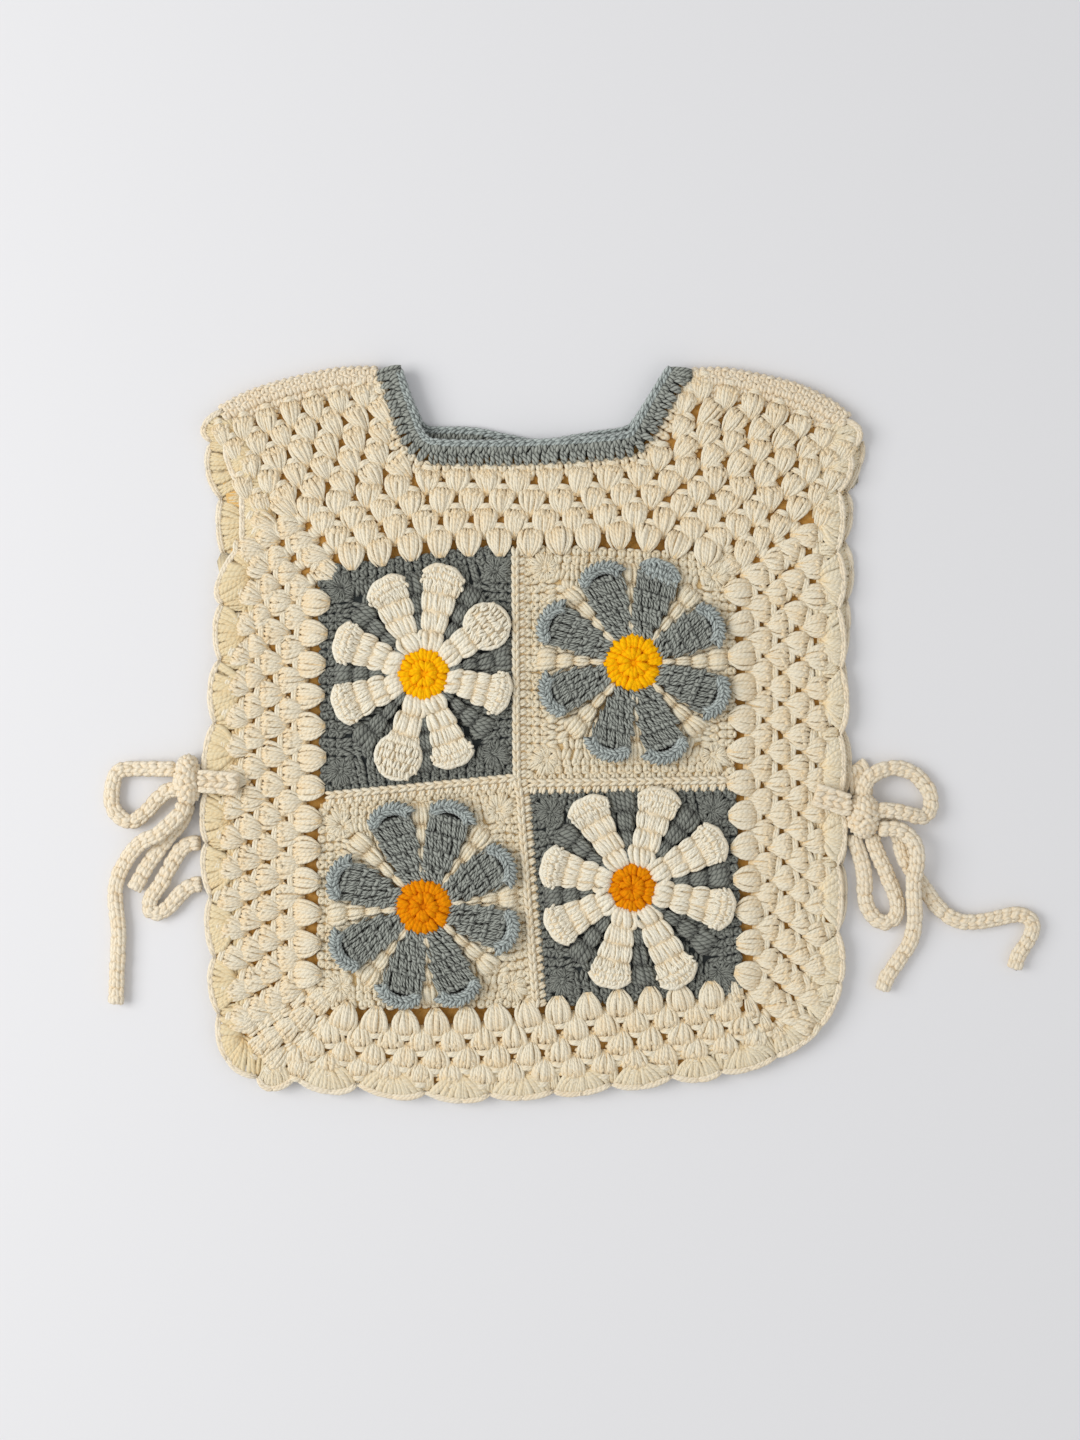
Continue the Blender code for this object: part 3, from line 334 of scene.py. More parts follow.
def yarn_group():
    group = bpy.data.node_groups.new("yarn_look", "ShaderNodeTree")
    group_socket(group, "Lit", "INPUT", "NodeSocketColor", (0.9, 0.8, 0.6, 1))
    group_socket(group, "Painted Shade", "INPUT", "NodeSocketColor", (0.6, 0.4, 0.2, 1))
    group_socket(group, "Ply Pitch", "INPUT", "NodeSocketFloat", 0.0024)
    group_socket(group, "Contrast", "INPUT", "NodeSocketFloat", 0.35)
    group_socket(group, "Colour", "OUTPUT", "NodeSocketColor")
    group_socket(group, "Height", "OUTPUT", "NodeSocketFloat")
    nodes, links = group.nodes, group.links

    def math_node(operation, first, second=None):
        node = nodes.new("ShaderNodeMath")
        node.operation = operation
        for socket, value in zip(node.inputs, (first, second)):
            if value is None:
                continue
            if isinstance(value, (int, float)):
                socket.default_value = value
            else:
                links.new(value, socket)
        return node.outputs[0]

    def uv_parts(name):
        uv = nodes.new("ShaderNodeUVMap")
        uv.uv_map = name
        parts = nodes.new("ShaderNodeSeparateXYZ")
        links.new(uv.outputs[0], parts.inputs[0])
        return parts.outputs[0], parts.outputs[1]

    def noise(scale):
        node = nodes.new("ShaderNodeTexNoise")
        node.inputs["Scale"].default_value = scale
        links.new(where, node.inputs["Vector"])
        return node

    given = nodes.new("NodeGroupInput").outputs
    where = nodes.new("ShaderNodeTexCoord").outputs["Object"]
    along, around = uv_parts("lie")
    tone, lit_share = uv_parts("shade")
    lengthwise = math_node("DIVIDE", along, given["Ply Pitch"])
    turns = math_node("ADD", lengthwise, math_node("MULTIPLY", around, 2.0))
    ply = math_node("ABSOLUTE", math_node("SINE", math_node("MULTIPLY", turns, math.pi)))
    fuzz = noise(1400.0)
    fuzz.inputs["Detail"].default_value = 3.0
    patches = noise(160.0)

    # Painted shade: the grooves between the plies and the strand's sunk parts, read from the shade UV map, mix
    # the colour towards the darker, warmer shade colour.
    groove = math_node("SUBTRACT", 1.0, ply)
    groove = math_node("MULTIPLY", math_node("POWER", groove, 2.0), given["Contrast"])
    sunk = math_node("MULTIPLY", math_node("SUBTRACT", 1.0, lit_share), 0.75)
    uneven = math_node("MULTIPLY", math_node("SUBTRACT", tone, 0.5), 0.18)
    blotch = math_node("MULTIPLY", math_node("SUBTRACT", patches.outputs[0], 0.5), 0.35)
    share = math_node("ADD", math_node("ADD", groove, sunk), math_node("ADD", uneven, blotch))
    limit = nodes.new("ShaderNodeClamp")
    links.new(share, limit.inputs[0])
    mix = nodes.new("ShaderNodeMix")
    mix.data_type = "RGBA"
    links.new(limit.outputs[0], mix.inputs[0])
    links.new(given["Lit"], mix.inputs[6])
    links.new(given["Painted Shade"], mix.inputs[7])
    height = math_node("ADD", ply, math_node("MULTIPLY", fuzz.outputs[0], 0.8))
    result = nodes.new("NodeGroupOutput")
    links.new(mix.outputs[2], result.inputs["Colour"])
    links.new(height, result.inputs["Height"])
    return group


YARN_LOOK = yarn_group()
print("inputs:", [item.name for item in YARN_LOOK.interface.items_tree])

# %% Yarn materials
def srgb(red, green, blue):
    """The linear colour of an 8-bit one."""
    channels = [c / 255 for c in (red, green, blue)]
    return tuple(c / 12.92 if c <= 0.04045 else ((c + 0.055) / 1.055) ** 2.4 for c in channels) + (1.0,)


def yarn_material(name, lit, deep, sheen=0.2, contrast=0.2, specular=0.25):
    """Yarn in a lit colour and a painted shade colour. contrast is how much painted shade darkens the grooves
    between its plies.
    """
    material = bpy.data.materials.new(name)
    material.use_nodes = True
    nodes, links = material.node_tree.nodes, material.node_tree.links
    shader = nodes["Principled BSDF"]
    shader.inputs["Roughness"].default_value = 0.88
    shader.inputs["Sheen Weight"].default_value = sheen
    shader.inputs["Sheen Roughness"].default_value = 0.5
    shader.inputs["Specular IOR Level"].default_value = specular
    look = nodes.new("ShaderNodeGroup")
    look.node_tree = YARN_LOOK
    look.inputs["Lit"].default_value = srgb(*lit)
    look.inputs["Painted Shade"].default_value = srgb(*deep)
    look.inputs["Contrast"].default_value = contrast
    look.inputs["Ply Pitch"].default_value = 0.0024
    bump = nodes.new("ShaderNodeBump")
    bump.inputs["Strength"].default_value = 0.55
    bump.inputs["Distance"].default_value = 0.0004
    links.new(look.outputs["Colour"], shader.inputs["Base Color"])
    links.new(look.outputs["Height"], bump.inputs["Height"])
    links.new(bump.outputs["Normal"], shader.inputs["Normal"])
    return material


# Each yarn gets a lit colour and a painted shade colour: the second is mixed in where strands dip and in the
# grooves between plies, as shade.
CREAM = yarn_material("cream_yarn_worked", (237, 229, 209), (234, 190, 108), contrast=0.16)
CREAM_PETALS = yarn_material("cream_yarn_petals", (241, 236, 220), (224, 190, 130))
CREAM_GROUND = yarn_material("cream_yarn_squares", (234, 226, 205), (226, 186, 112), contrast=0.12)
CREAM_TIES = yarn_material("cream_yarn_ties", (239, 229, 209), (236, 200, 142))
# The edging cream below is a darker, yellower copy of the cream yarn: painted shade, for the left edging in
# shadow and for the back cloth.
EDGE_CREAM_PAINTED_SHADE = yarn_material("cream_yarn_edging", (228, 214, 180), (230, 184, 104))
HEM_CREAM = yarn_material("cream_yarn_edging_hem", (231, 221, 197), (232, 196, 128))
RIM_CREAM = yarn_material("cream_yarn_edging_right", (239, 230, 207), (238, 202, 132))
EDGINGS = {"left": EDGE_CREAM_PAINTED_SHADE, "hem": HEM_CREAM, "right": RIM_CREAM}
SLATE = yarn_material("slate_yarn_worked", (166, 171, 165), (14, 13, 10), contrast=1.0)
SLATE_GROUND = yarn_material("slate_yarn_squares", (143, 147, 141), (14, 13, 10), contrast=0.8)
# The rim slate below is a lighter copy of the slate yarn: a painted highlight on the raised lips and the
# neckband's chain, which catch the light.
SLATE_PAINTED_HIGHLIGHT = yarn_material("slate_yarn_rims_painted_highlight", (184, 194, 193), (38, 42, 42), sheen=0.3, contrast=0.8)
HEART_YARN = dict(sheen=0.0, contrast=0.28, specular=0.08)
ORANGE = yarn_material("orange_yarn_worked", (255, 192, 8), (236, 130, 0), **HEART_YARN)
AMBER = yarn_material("amber_yarn_worked", (236, 148, 6), (184, 80, 0), **HEART_YARN)
print("materials:", len(bpy.data.materials))

# %% [markdown]
# ## Ties
#
# Each tie is a narrow flat cord, crocheted in rows of a few stitches, so it shows small legs that slant
# both ways. A cord has a fixed length and lies on the table in loose curves. Its core is a flat tube along
# the same route as the CAD solid, and the legs are laid on the core as short strands. The routes repeat the
# solids' own points.

# %% Routes of the ties
CORD_WIDTH = 0.0080
CORD_HEIGHT = 0.0048
CORDS = {
    "tie_left_loop_front": [
        (-0.1712, -0.0172, 0.0052), (-0.1745, -0.0172, 0.0050), (-0.1900, -0.0172, 0.0030),
        (-0.1990, -0.0180, 0.0028), (-0.2022, -0.0250, 0.0028), (-0.2018, -0.0360, 0.0028),
        (-0.1945, -0.0425, 0.0028), (-0.1870, -0.0385, 0.0030), (-0.1800, -0.0310, 0.0044),
        (-0.1745, -0.0269, 0.0058), (-0.1712, -0.0268, 0.0060),
    ],
    "tie_left_end_front": [
        (-0.1672, -0.0334, 0.0082), (-0.1674, -0.0365, 0.0082), (-0.1735, -0.0432, 0.0080),
        (-0.1800, -0.0488, 0.0078), (-0.1885, -0.0528, 0.0058), (-0.1952, -0.0608, 0.0030),
        (-0.1998, -0.0700, 0.0027), (-0.2009, -0.0800, 0.0027), (-0.1992, -0.0940, 0.0027),
        (-0.1998, -0.1100, 0.0027), (-0.2004, -0.1300, 0.0027),
    ],
    "tie_left_loop_back": [
        (-0.1600, -0.0528, 0.0025), (-0.1632, -0.0528, 0.0025), (-0.1685, -0.0548, 0.0025),
        (-0.1718, -0.0600, 0.0025), (-0.1757, -0.0665, 0.0025), (-0.1797, -0.0738, 0.0025),
        (-0.1842, -0.0800, 0.0025), (-0.1835, -0.0865, 0.0025), (-0.1768, -0.0850, 0.0025),
        (-0.1700, -0.0775, 0.0025), (-0.1636, -0.0727, 0.0025), (-0.1600, -0.0725, 0.0025),
    ],
    "tie_left_end_back": [
        (-0.1660, -0.0334, 0.0025), (-0.1662, -0.0365, 0.0025), (-0.1695, -0.0430, 0.0025),
        (-0.1755, -0.0500, 0.0025), (-0.1828, -0.0600, 0.0025), (-0.1884, -0.0688, 0.0025),
        (-0.1917, -0.0750, 0.0025),
    ],
    "tie_right_loop_front": [
        (0.1585, -0.0301, 0.0062), (0.1585, -0.0270, 0.0062), (0.1628, -0.0200, 0.0060),
        (0.1730, -0.0164, 0.0044), (0.1831, -0.0189, 0.0032), (0.1900, -0.0262, 0.0030),
        (0.1920, -0.0345, 0.0038), (0.1880, -0.0402, 0.0056), (0.1800, -0.0385, 0.0076),
        (0.1740, -0.0372, 0.0080), (0.1692, -0.0367, 0.0080), (0.1659, -0.0367, 0.0080),
    ],
    "tie_right_loop_back": [
        (0.1552, -0.0489, 0.0027), (0.1552, -0.0520, 0.0027), (0.1585, -0.0610, 0.0025),
        (0.1600, -0.0700, 0.0025), (0.1603, -0.0800, 0.0025), (0.1640, -0.0880, 0.0026),
        (0.1697, -0.0913, 0.0027), (0.1748, -0.0880, 0.0027), (0.1752, -0.0800, 0.0026),
        (0.1712, -0.0700, 0.0025), (0.1672, -0.0600, 0.0025), (0.1637, -0.0520, 0.0027),
        (0.1637, -0.0489, 0.0027),
    ],
    "tie_right_end_front": [
        (0.1659, -0.0455, 0.0081), (0.1690, -0.0455, 0.0081), (0.1740, -0.0456, 0.0081),
        (0.1795, -0.0483, 0.0081), (0.1838, -0.0545, 0.0081), (0.1842, -0.0626, 0.0081),
        (0.1826, -0.0708, 0.0081), (0.1831, -0.0809, 0.0078), (0.1838, -0.0920, 0.0040),
        (0.1817, -0.1010, 0.0028), (0.1764, -0.1092, 0.0028), (0.1710, -0.1170, 0.0028),
        (0.1685, -0.1235, 0.0028),
    ],
    "tie_right_end_back": [
        (0.1659, -0.0428, 0.0025), (0.1690, -0.0428, 0.0025), (0.1745, -0.0447, 0.0025),
        (0.1768, -0.0505, 0.0025), (0.1782, -0.0575, 0.0025), (0.1816, -0.0645, 0.0025),
        (0.1875, -0.0722, 0.0025), (0.1946, -0.0826, 0.0025), (0.2023, -0.0890, 0.0025),
        (0.2110, -0.0908, 0.0025), (0.2230, -0.0890, 0.0025), (0.2345, -0.0870, 0.0025),
        (0.2410, -0.0910, 0.0025), (0.2395, -0.0985, 0.0025), (0.2345, -0.1060, 0.0025),
        (0.2320, -0.1130, 0.0025),
    ],
}


def routed(points, step=0.0035):
    """A tie's route in the frame, read every few millimetres."""
    route = np.array(points) - np.append(MIDDLE, 0.0)
    return smooth_path(route, max(8, int(length_of(route) / step)))


ROUTES = {name: routed(points) for name, points in CORDS.items()}
print({name: round(length_of(route), 3) for name, route in ROUTES.items()})

# %% Cores of the ties
CORE_SIDES = 12
CORE_SHARE = 0.80           # of the cord's width: the stitches cover the rest
CORE_HEIGHT_SHARE = 0.90
ROWS_SHARE = 0.74           # how far out and up the stitches' middles go
ROWS_HEIGHT_SHARE = 0.92


def tube_mesh(name, route, half_width, half_height):
    """A flat tube along a route, swept by extruding one ring from point to point and closed at both ends."""
    forward = unit(np.gradient(route, axis=0))
    bm = bmesh.new()
    ring = bmesh.ops.create_circle(bm, segments=CORE_SIDES, radius=1)["verts"]
    shape = [(v.co.x, v.co.y) for v in ring]
    edges = bm.edges[:]
    first, last = ring, ring
    for step, (place, ahead) in enumerate(zip(route, forward)):
        if step:
            grown = bmesh.ops.extrude_edge_only(bm, edges=edges)["geom"]
            last = [v for v in grown if isinstance(v, bmesh.types.BMVert)]
            edges = [e for e in grown if isinstance(e, bmesh.types.BMEdge)]
            edges = [e for e in edges if all(v in last for v in e.verts)]
        side = unit(np.cross(UP, ahead))
        out = np.cross(ahead, side)
        pinch = 0.8 if step in (0, len(route) - 1) else 1.0
        for v, (x, y) in zip(last, shape):
            v.co = place + side * x * half_width * pinch + out * y * half_height * pinch
    for rim in (first, last):
        bmesh.ops.contextual_create(bm, geom=rim)
    bmesh.ops.recalc_face_normals(bm, faces=bm.faces)
    return smooth_core(bm, name)


ROW_STEP = 0.0040        # from one row of stitches to the next
COLUMNS = ((-0.86, 0.04), (-0.36, -0.42), (0.20, 0.42), (0.78, -0.10))     # place and slant of each column


def rows_on_cord(yarn, route, half_width, half_height):
    """Small slanting stitches all over the top of a flat cord, in rows across it."""
    sides = unit(np.cross(UP, unit(np.gradient(route, axis=0))))
    shares = np.linspace(0, 1, len(route))
    count = int(length_of(route) / ROW_STEP)

    def read(rows, share):
        return np.stack([np.interp(share, shares, column) for column in rows.T], axis=-1)

    for step in range(count):
        for across, lean in COLUMNS:
            slant = lean + rng.uniform(-0.10, 0.10)
            share = (step + rng.uniform(-0.15, 0.15) + T_SHORT * rng.uniform(1.15, 1.45)) / count
            share = np.clip(share, 0, 1)
            aside = across + rng.uniform(-0.05, 0.05) + slant * (T_SHORT - 0.5)
            aside = np.clip(aside, -1, 1) * half_width
            roof = half_height * np.sqrt(1 - (aside / half_width * 0.95) ** 2)
            path = read(route, share) + read(sides, share) * aside[:, None]
            path[:, 2] += roof - 0.0005 + rng.uniform(0.0004, 0.0009) * SWELL
            yarn.lay(path, rng.uniform(0.00135, 0.00160), 0.0011, deep=0.66 + 0.34 * SWELL)


for name, route in ROUTES.items():
    core = tube_mesh(name, route, CORD_WIDTH / 2 * CORE_SHARE, CORD_HEIGHT / 2 * CORE_HEIGHT_SHARE)
    core_piece = add_piece(name.replace("tie_", "cord_"), core, CREAM_TIES, name)
    legs = Yarn()
    rows_on_cord(legs, route, CORD_WIDTH / 2 * ROWS_SHARE, CORD_HEIGHT / 2 * ROWS_HEIGHT_SHARE)
    braid_piece = add_yarn(name.replace("tie_", "braid_"), legs, CREAM_TIES)
    length_of(route)

# %% [markdown]
# ## Bundles
#
# Nearly every stitch on the vest is a bundle: a few strands side by side that bulge in the middle and dip
# at both ends, where they are pulled through their neighbours. A cluster is a bundle that is gathered to a
# point at one end. A post is a bundle of two. One function lays them all, and the half widths along it give
# each stitch its outline.

# %% A bundle of strands
EGG = np.array((0.27, 0.46, 0.71, 0.91, 0.98, 1.0, 0.80))
FULL_EGG = np.array((0.34, 0.62, 0.86, 0.98, 1.0, 0.96, 0.78))
HEADED = np.array((0.60, 0.80, 0.93, 1.0, 1.0, 0.95, 0.78))
BARREL = np.array((0.80, 0.96, 1.0, 1.0, 1.0, 0.97, 0.86))
FAN = np.array((0.28, 0.44, 0.60, 0.74, 0.86, 0.95, 1.0))
ARCH = np.sin(math.pi * (0.06 + 0.88 * T_LONG)) ** 0.7
SLOPE = np.array((0.10, 0.52, 0.80, 0.96, 1.0, 0.94, 0.76))
SHALLOW = np.sin(math.pi * (0.10 + 0.80 * T_LONG)) ** 0.45


def bundle(yarn, start, end, half, widths, count, floor, rise, core=True, jitter=0.10, plump=1.12,
           slant=0.0, round_off=0.85, arch=ARCH, loose=0.0, deep=None):
    """Strands from start to end in plan. floor is the level below them, at both ends or along the bundle."""
    start, end = np.asarray(start, float), np.asarray(end, float)
    ahead = end - start
    side = turned(ahead) / (np.linalg.norm(ahead) + 1e-9)
    floor = np.interp(T_LONG, (0, 1), np.broadcast_to(floor, (2,)))
    middle = start + ahead * T_LONG[:, None]
    # Painted shade: the strands are darker where they dip at both ends.
    deep = 0.35 + 0.65 * arch if deep is None else deep
    if core:
        yarn.core(middle, floor + rise * 0.34 * arch, half * widths * 0.98, rise * 0.50)
    for number in range(count):
        across = (2 * number + 1) / count - 1 + rng.uniform(-jitter, jitter) * 2 / count
        wander = math.pi * (T_LONG * rng.uniform(0.8, 1.6) + rng.uniform(0, 2))
        strayed = loose * half / count * np.sin(wander)
        offset = across * half * widths + slant * half * (T_LONG - 0.5) + strayed
        lift = rise * arch * math.sqrt(max(0.05, 1 - (round_off * across) ** 2))
        lift = lift * rng.uniform(0.96 - 0.3 * loose, 1.04 + 0.1 * loose)
        thick = np.minimum(half / count * plump, half * widths / count * 1.5) * rng.uniform(0.90, 1.10)
        yarn.over(middle + side * offset[:, None], floor + lift, thick, deep=deep)


def halves(overlap):
    """Shares of a line at a long strand's rings, for two strands that share the line and overlap a little."""
    return (overlap * T_LONG, 1 - overlap + overlap * T_LONG)


def arc(yarn, left, right, bow, radius, level, dip=0.0012):
    """One strand from left to right that bows out in plan and over its neighbours."""
    swell = 1 - (2 * T_LONG - 1) ** 2
    place = left + (right - left) * T_LONG[:, None] + bow * swell[:, None]
    yarn.over(place, level + dip * (swell - 1), radius, deep=0.5 + 0.5 * swell)


LINK_STEP = 0.0044          # from one link of a chain to the next
LINK_HALF = 0.0010


def chain(yarn, line, leg, level, aside):
    """A chain of V-shaped links along a line in plan."""
    count = max(2, int(round(line.length / LINK_STEP)))
    for link in range(count):
        for side in (-1, 1):
            share = np.clip((link + T_SHORT * 1.45 - 0.1) / count, 0, 1)
            offset = aside + side * LINK_HALF * np.interp(T_SHORT, (0, 0.25, 0.6, 1), (1.25, 1.2, 0.75, 0.05))
            lift = leg * np.interp(T_SHORT, (0, 0.3, 0.75, 1), (-0.6, 0.5, 0.9, 0.2))
            yarn.over(line.at(share, offset), level + lift, leg, deep=0.6 + 0.4 * SWELL)


print("a bundle's strands have", LONG, "stations")

# %% [markdown]
# ## The border's rounds
#
# Around the block of four squares the vest is worked in rounds of clusters, with a small hole between each
# two. A cluster of the next round is worked into that hole, so the rounds interlock like bricks. The holes
# are the easiest thing to see in the photograph, so each round is given by the line of its holes, side by
# side, clockwise from the lower left corner. A cluster sits between two holes and points to the nearest
# hole of the round before.

# %% Lines of holes
ROUNDS = [
    {"left": [(308, 990), (308, 893), (307, 832), (313, 768), (311, 703), (313, 647), (318, 587)],
     "top": [(336, 557), (369, 556), (400, 549), (459, 543), (538, 543), (602, 537), (632, 535), (661, 542),
             (691, 549), (721, 556)],
     "right": [(737, 576), (739, 622), (742, 668), (742, 720), (740, 767), (743, 833), (748, 898), (750, 960),
               (745, 990)],
     "hem": [(726, 993), (659, 999), (601, 1004), (544, 1011), (484, 1018), (424, 1022), (363, 1018),
             (330, 1013)]},
    {"left": [(292, 1005), (287, 940), (287, 877), (288, 817), (295, 755), (289, 694), (294, 632),
              (304, 572)],
     "top": [(322, 539), (352, 535), (412, 522), (470, 519), (557, 520), (618, 513), (649, 513), (677, 523),
             (735, 543)],
     "right": [(757, 560), (760, 596), (762, 692), (761, 786), (764, 850), (768, 917), (767, 960),
               (760, 1008)],
     "hem": [(743, 1009), (682, 1016), (619, 1024), (562, 1031), (502, 1038), (440, 1041), (376, 1037),
             (345, 1035), (315, 1030)]},
    {"left": [(277, 1016), (270, 955), (267, 891), (269, 831), (273, 771), (270, 678), (277, 615),
              (294, 558)],
     "top": [(308, 525), (335, 521), (396, 507), (425, 498), (514, 500), (573, 500), (634, 493), (664, 498),
             (694, 510), (753, 530)],
     "right": [(772, 545), (777, 613), (780, 708), (780, 800), (784, 899), (785, 950), (773, 1020)],
     "hem": [(757, 1022), (699, 1031), (640, 1042), (578, 1049), (519, 1056), (457, 1058), (392, 1056),
             (327, 1048), (298, 1042)]},
    {"left": [(261, 1025), (254, 970), (249, 890), (250, 830), (255, 756), (255, 693), (261, 632),
              (283, 543)],
     "top": [(294, 511), (347, 500), (410, 482), (441, 480), (531, 480), (588, 477), (649, 475), (682, 486),
             (742, 507), (771, 516)],
     "right": [(787, 535), (795, 600), (799, 727), (797, 800), (798, 900), (798, 960), (786, 1030)],
     "hem": [(770, 1032), (717, 1045), (659, 1055), (596, 1064), (538, 1072), (477, 1073), (410, 1071),
             (345, 1063), (283, 1052)]},
    {"left": [(243, 1035), (236, 980), (230, 900), (232, 850), (235, 772), (239, 700), (247, 630), (256, 575),
              (272, 522)],
     "right": [(803, 520), (812, 560), (817, 640), (817, 710), (814, 790), (815, 868), (815, 940),
               (811, 1000), (798, 1040)]},
]
FIRST_ROUND_HOLES = 14      # on each side; each further round has one more
LEFT_SHOULDER = [
    ([(272, 500), (299, 492), (357, 478), (386, 471), (414, 462)], 6),
    ([(255, 484), (282, 477), (337, 464), (364, 457), (391, 449)], 6),
    ([(262, 462), (287, 453), (314, 447), (342, 442), (368, 436), (395, 430)], 6),
    ([(245, 446), (270, 439), (296, 432), (345, 419), (371, 412), (393, 405)], 7),
    ([(232, 431), (255, 424), (275, 416), (323, 405), (348, 399), (375, 393)], 7),
]
RIGHT_SHOULDER = [
    ([(645, 452), (673, 463), (732, 484), (786, 503), (812, 512)], 7),
    ([(672, 441), (700, 451), (755, 468), (782, 480), (806, 490)], 6),
    ([(668, 424), (694, 430), (750, 447), (801, 465), (822, 475)], 7),
    ([(674, 398), (697, 406), (747, 424), (796, 443), (819, 455)], 7),
    ([(690, 382), (716, 392), (767, 410), (812, 432), (835, 445)], 7),
]


def seen_line(points, samples=400):
    return Line([seen(*p) for p in points], samples)


def holes_on(points, count):
    return seen_line(points).at(np.linspace(0, 1, count))


round_holes = []
for number, sides in enumerate(ROUNDS):
    count = FIRST_ROUND_HOLES + number
    round_holes.append({side: holes_on(points, count) for side, points in sides.items()})
print("holes in each round:", [sum(len(holes) for holes in sides.values()) for sides in round_holes])

# %% Clusters
CLUSTER_STRANDS = 8
CLUSTER_FLOOR = 0.0046
CLUSTER_RISE = 0.0031
CLUSTER_SHADE = np.array((0.80, 0.95, 1.0, 0.96, 0.88, 0.74, 0.55))
TIP_GAP = 0.0016            # from the hole's middle to the cluster's tip
TIP_REACH = 0.0054          # a tip further than this from any hole points straight in
CLUSTER_BACK = 0.0053       # from a cluster's middle to its wide end
CAP_BACK = 0.0061           # from a cluster's middle to the bar of chain on its head
LOOP_LENGTH = 0.0025        # of the small loops on a cluster's head
FIRST_SHIFT = 0.0018        # the first round's clusters sit this much further out from their holes
FIRST_TIP_LEVEL = 0.0080    # and their tips lie over the squares' edges


def straight(start, end, stations=SHORT):
    """A strand's places from start to end in plan."""
    return start + (end - start) * np.linspace(0, 1, stations)[:, None]


def cluster(yarn, before, after, inner_holes, inward, first_round=False, most=0.0070):
    """A cluster between two holes of its round, pointing to the nearest hole of the round inside it."""
    centre = (before + after) / 2
    half = min(most, np.linalg.norm(after - before) * (0.42 if first_round else 0.41))
    aim = centre + inward * (0.0082 if first_round else 0.0095)
    if inner_holes is not None:
        distances = np.linalg.norm(inner_holes - aim, axis=1)
        if distances.min() < TIP_REACH:
            aim = inner_holes[distances.argmin()]
    length = np.linalg.norm(aim - centre)
    ahead = (aim - centre) / length
    side = turned(ahead)
    shift = FIRST_SHIFT if first_round else 0.0
    head = centre - ahead * shift
    floor = CLUSTER_FLOOR + rng.uniform(-0.0001, 0.0001)
    tip_floor = FIRST_TIP_LEVEL if first_round else floor + 0.0006
    bundle(yarn, centre + ahead * (length - TIP_GAP), head - ahead * CLUSTER_BACK, half,
           FULL_EGG if first_round else EGG, CLUSTER_STRANDS, (tip_floor, floor), CLUSTER_RISE,
           jitter=0.18, slant=rng.uniform(-0.20, 0.20), round_off=0.80, arch=SLOPE, loose=0.6,
           plump=1.50, deep=CLUSTER_SHADE)
    for place in (-0.62, -0.30, 0.0, 0.30, 0.62):       # small loops on the head
        spread = place + rng.uniform(-0.12, 0.12)
        turn = rng.uniform(-1.0, 1.0)
        foot = head - ahead * rng.uniform(0.0004, 0.0026) + side * half * spread
        end = foot + (-ahead * math.cos(turn) + side * math.sin(turn)) * LOOP_LENGTH
        level = floor + CLUSTER_RISE * (1.0 - 0.40 * spread * spread) + 0.0007 * SWELL - 0.0006 * T_SHORT
        yarn.over(straight(foot, end), level, 0.00098, deep=0.75)
    for back in (0.0006, 0.0028):                       # the loops that close it, at one side
        foot = head - ahead * back + side * half * 0.72
        end = head - ahead * (back + 0.0012) + side * half * 1.12
        yarn.over(straight(foot, end), floor + CLUSTER_RISE * 0.62 - 0.0008 * T_SHORT, 0.00105, deep=0.35)
    cap = head - ahead * (CAP_BACK + rng.uniform(-0.0002, 0.0002))
    lean = ahead * rng.uniform(-0.0006, 0.0006)
    for forward, reach in ((0.0008, 0.78), (-0.0003, 0.70)):
        reach_out = side * half * reach + lean
        arc(yarn, cap + ahead * forward + reach_out, cap + ahead * forward - reach_out, -ahead * 0.0006,
            0.00092, floor + CLUSTER_RISE * 0.82, dip=0.0024)


def work_row(yarn, holes, inner_holes, first_round=False, most=0.0070):
    """The clusters between the holes of one row. The row's inner side is to the right of its run."""
    for before, after in zip(holes, holes[1:]):
        cluster(yarn, before, after, inner_holes, -turned(unit(after - before)), first_round, most)


# %% The rounds and the shoulders
ORDER = ("left", "top", "right", "hem")
BORDER_NODES = {"left": "front_border_left", "top": "front_yoke",
                "right": "front_border_right", "hem": "front_border_hem"}
borders = {side: Yarn() for side in ORDER}
for number, sides in enumerate(round_holes):
    inner = None if number == 0 else np.concatenate(list(round_holes[number - 1].values()))
    last_round = number == len(round_holes) - 1
    for side, following in zip(ORDER, ORDER[1:] + ORDER[:1]):
        if side not in sides:
            continue
        work_row(borders[side], sides[side], inner, number == 0)
        if following in sides and not last_round:
            ends = np.stack((sides[side][-1], sides[following][0]))
            work_row(borders[side], ends, inner, most=0.0056)

# At each corner a short bar joins the last hole of one round to the last hole of the next.
for sides, outside in zip(round_holes, round_holes[1:]):
    for side in ORDER:
        if side in sides and side in outside:
            for end in (0, -1):
                a, b = sides[side][end], outside[side][end]
                bundle(borders[side], a + (b - a) * 0.18, a + (b - a) * 0.82, 0.0026, BARREL, 3,
                       CLUSTER_FLOOR, CLUSTER_RISE * 0.75, loose=0.5, plump=1.2)

# A few more fill the places where the rounds' corners meet the shoulders and the edging.
CORNER_CLUSTERS = [     # side, middle, where it points to
    ("left", (283, 504), (300, 522)), ("left", (262, 521), (283, 532)), ("left", (249, 549), (272, 552)),
    ("left", (262, 1046), (277, 1030)), ("hem", (276, 1060), (289, 1044)), ("hem", (300, 1066), (306, 1049)),
    ("left", (246, 1020), (262, 1012)),
]
CORNER_HALF = 0.0066
for side, middle, target in CORNER_CLUSTERS:
    middle, target = seen(*middle), seen(*target)
    inward = unit(target - middle)
    across = turned(inward) * CORNER_HALF
    cluster(borders[side], middle + across, middle - across, target[None], inward)

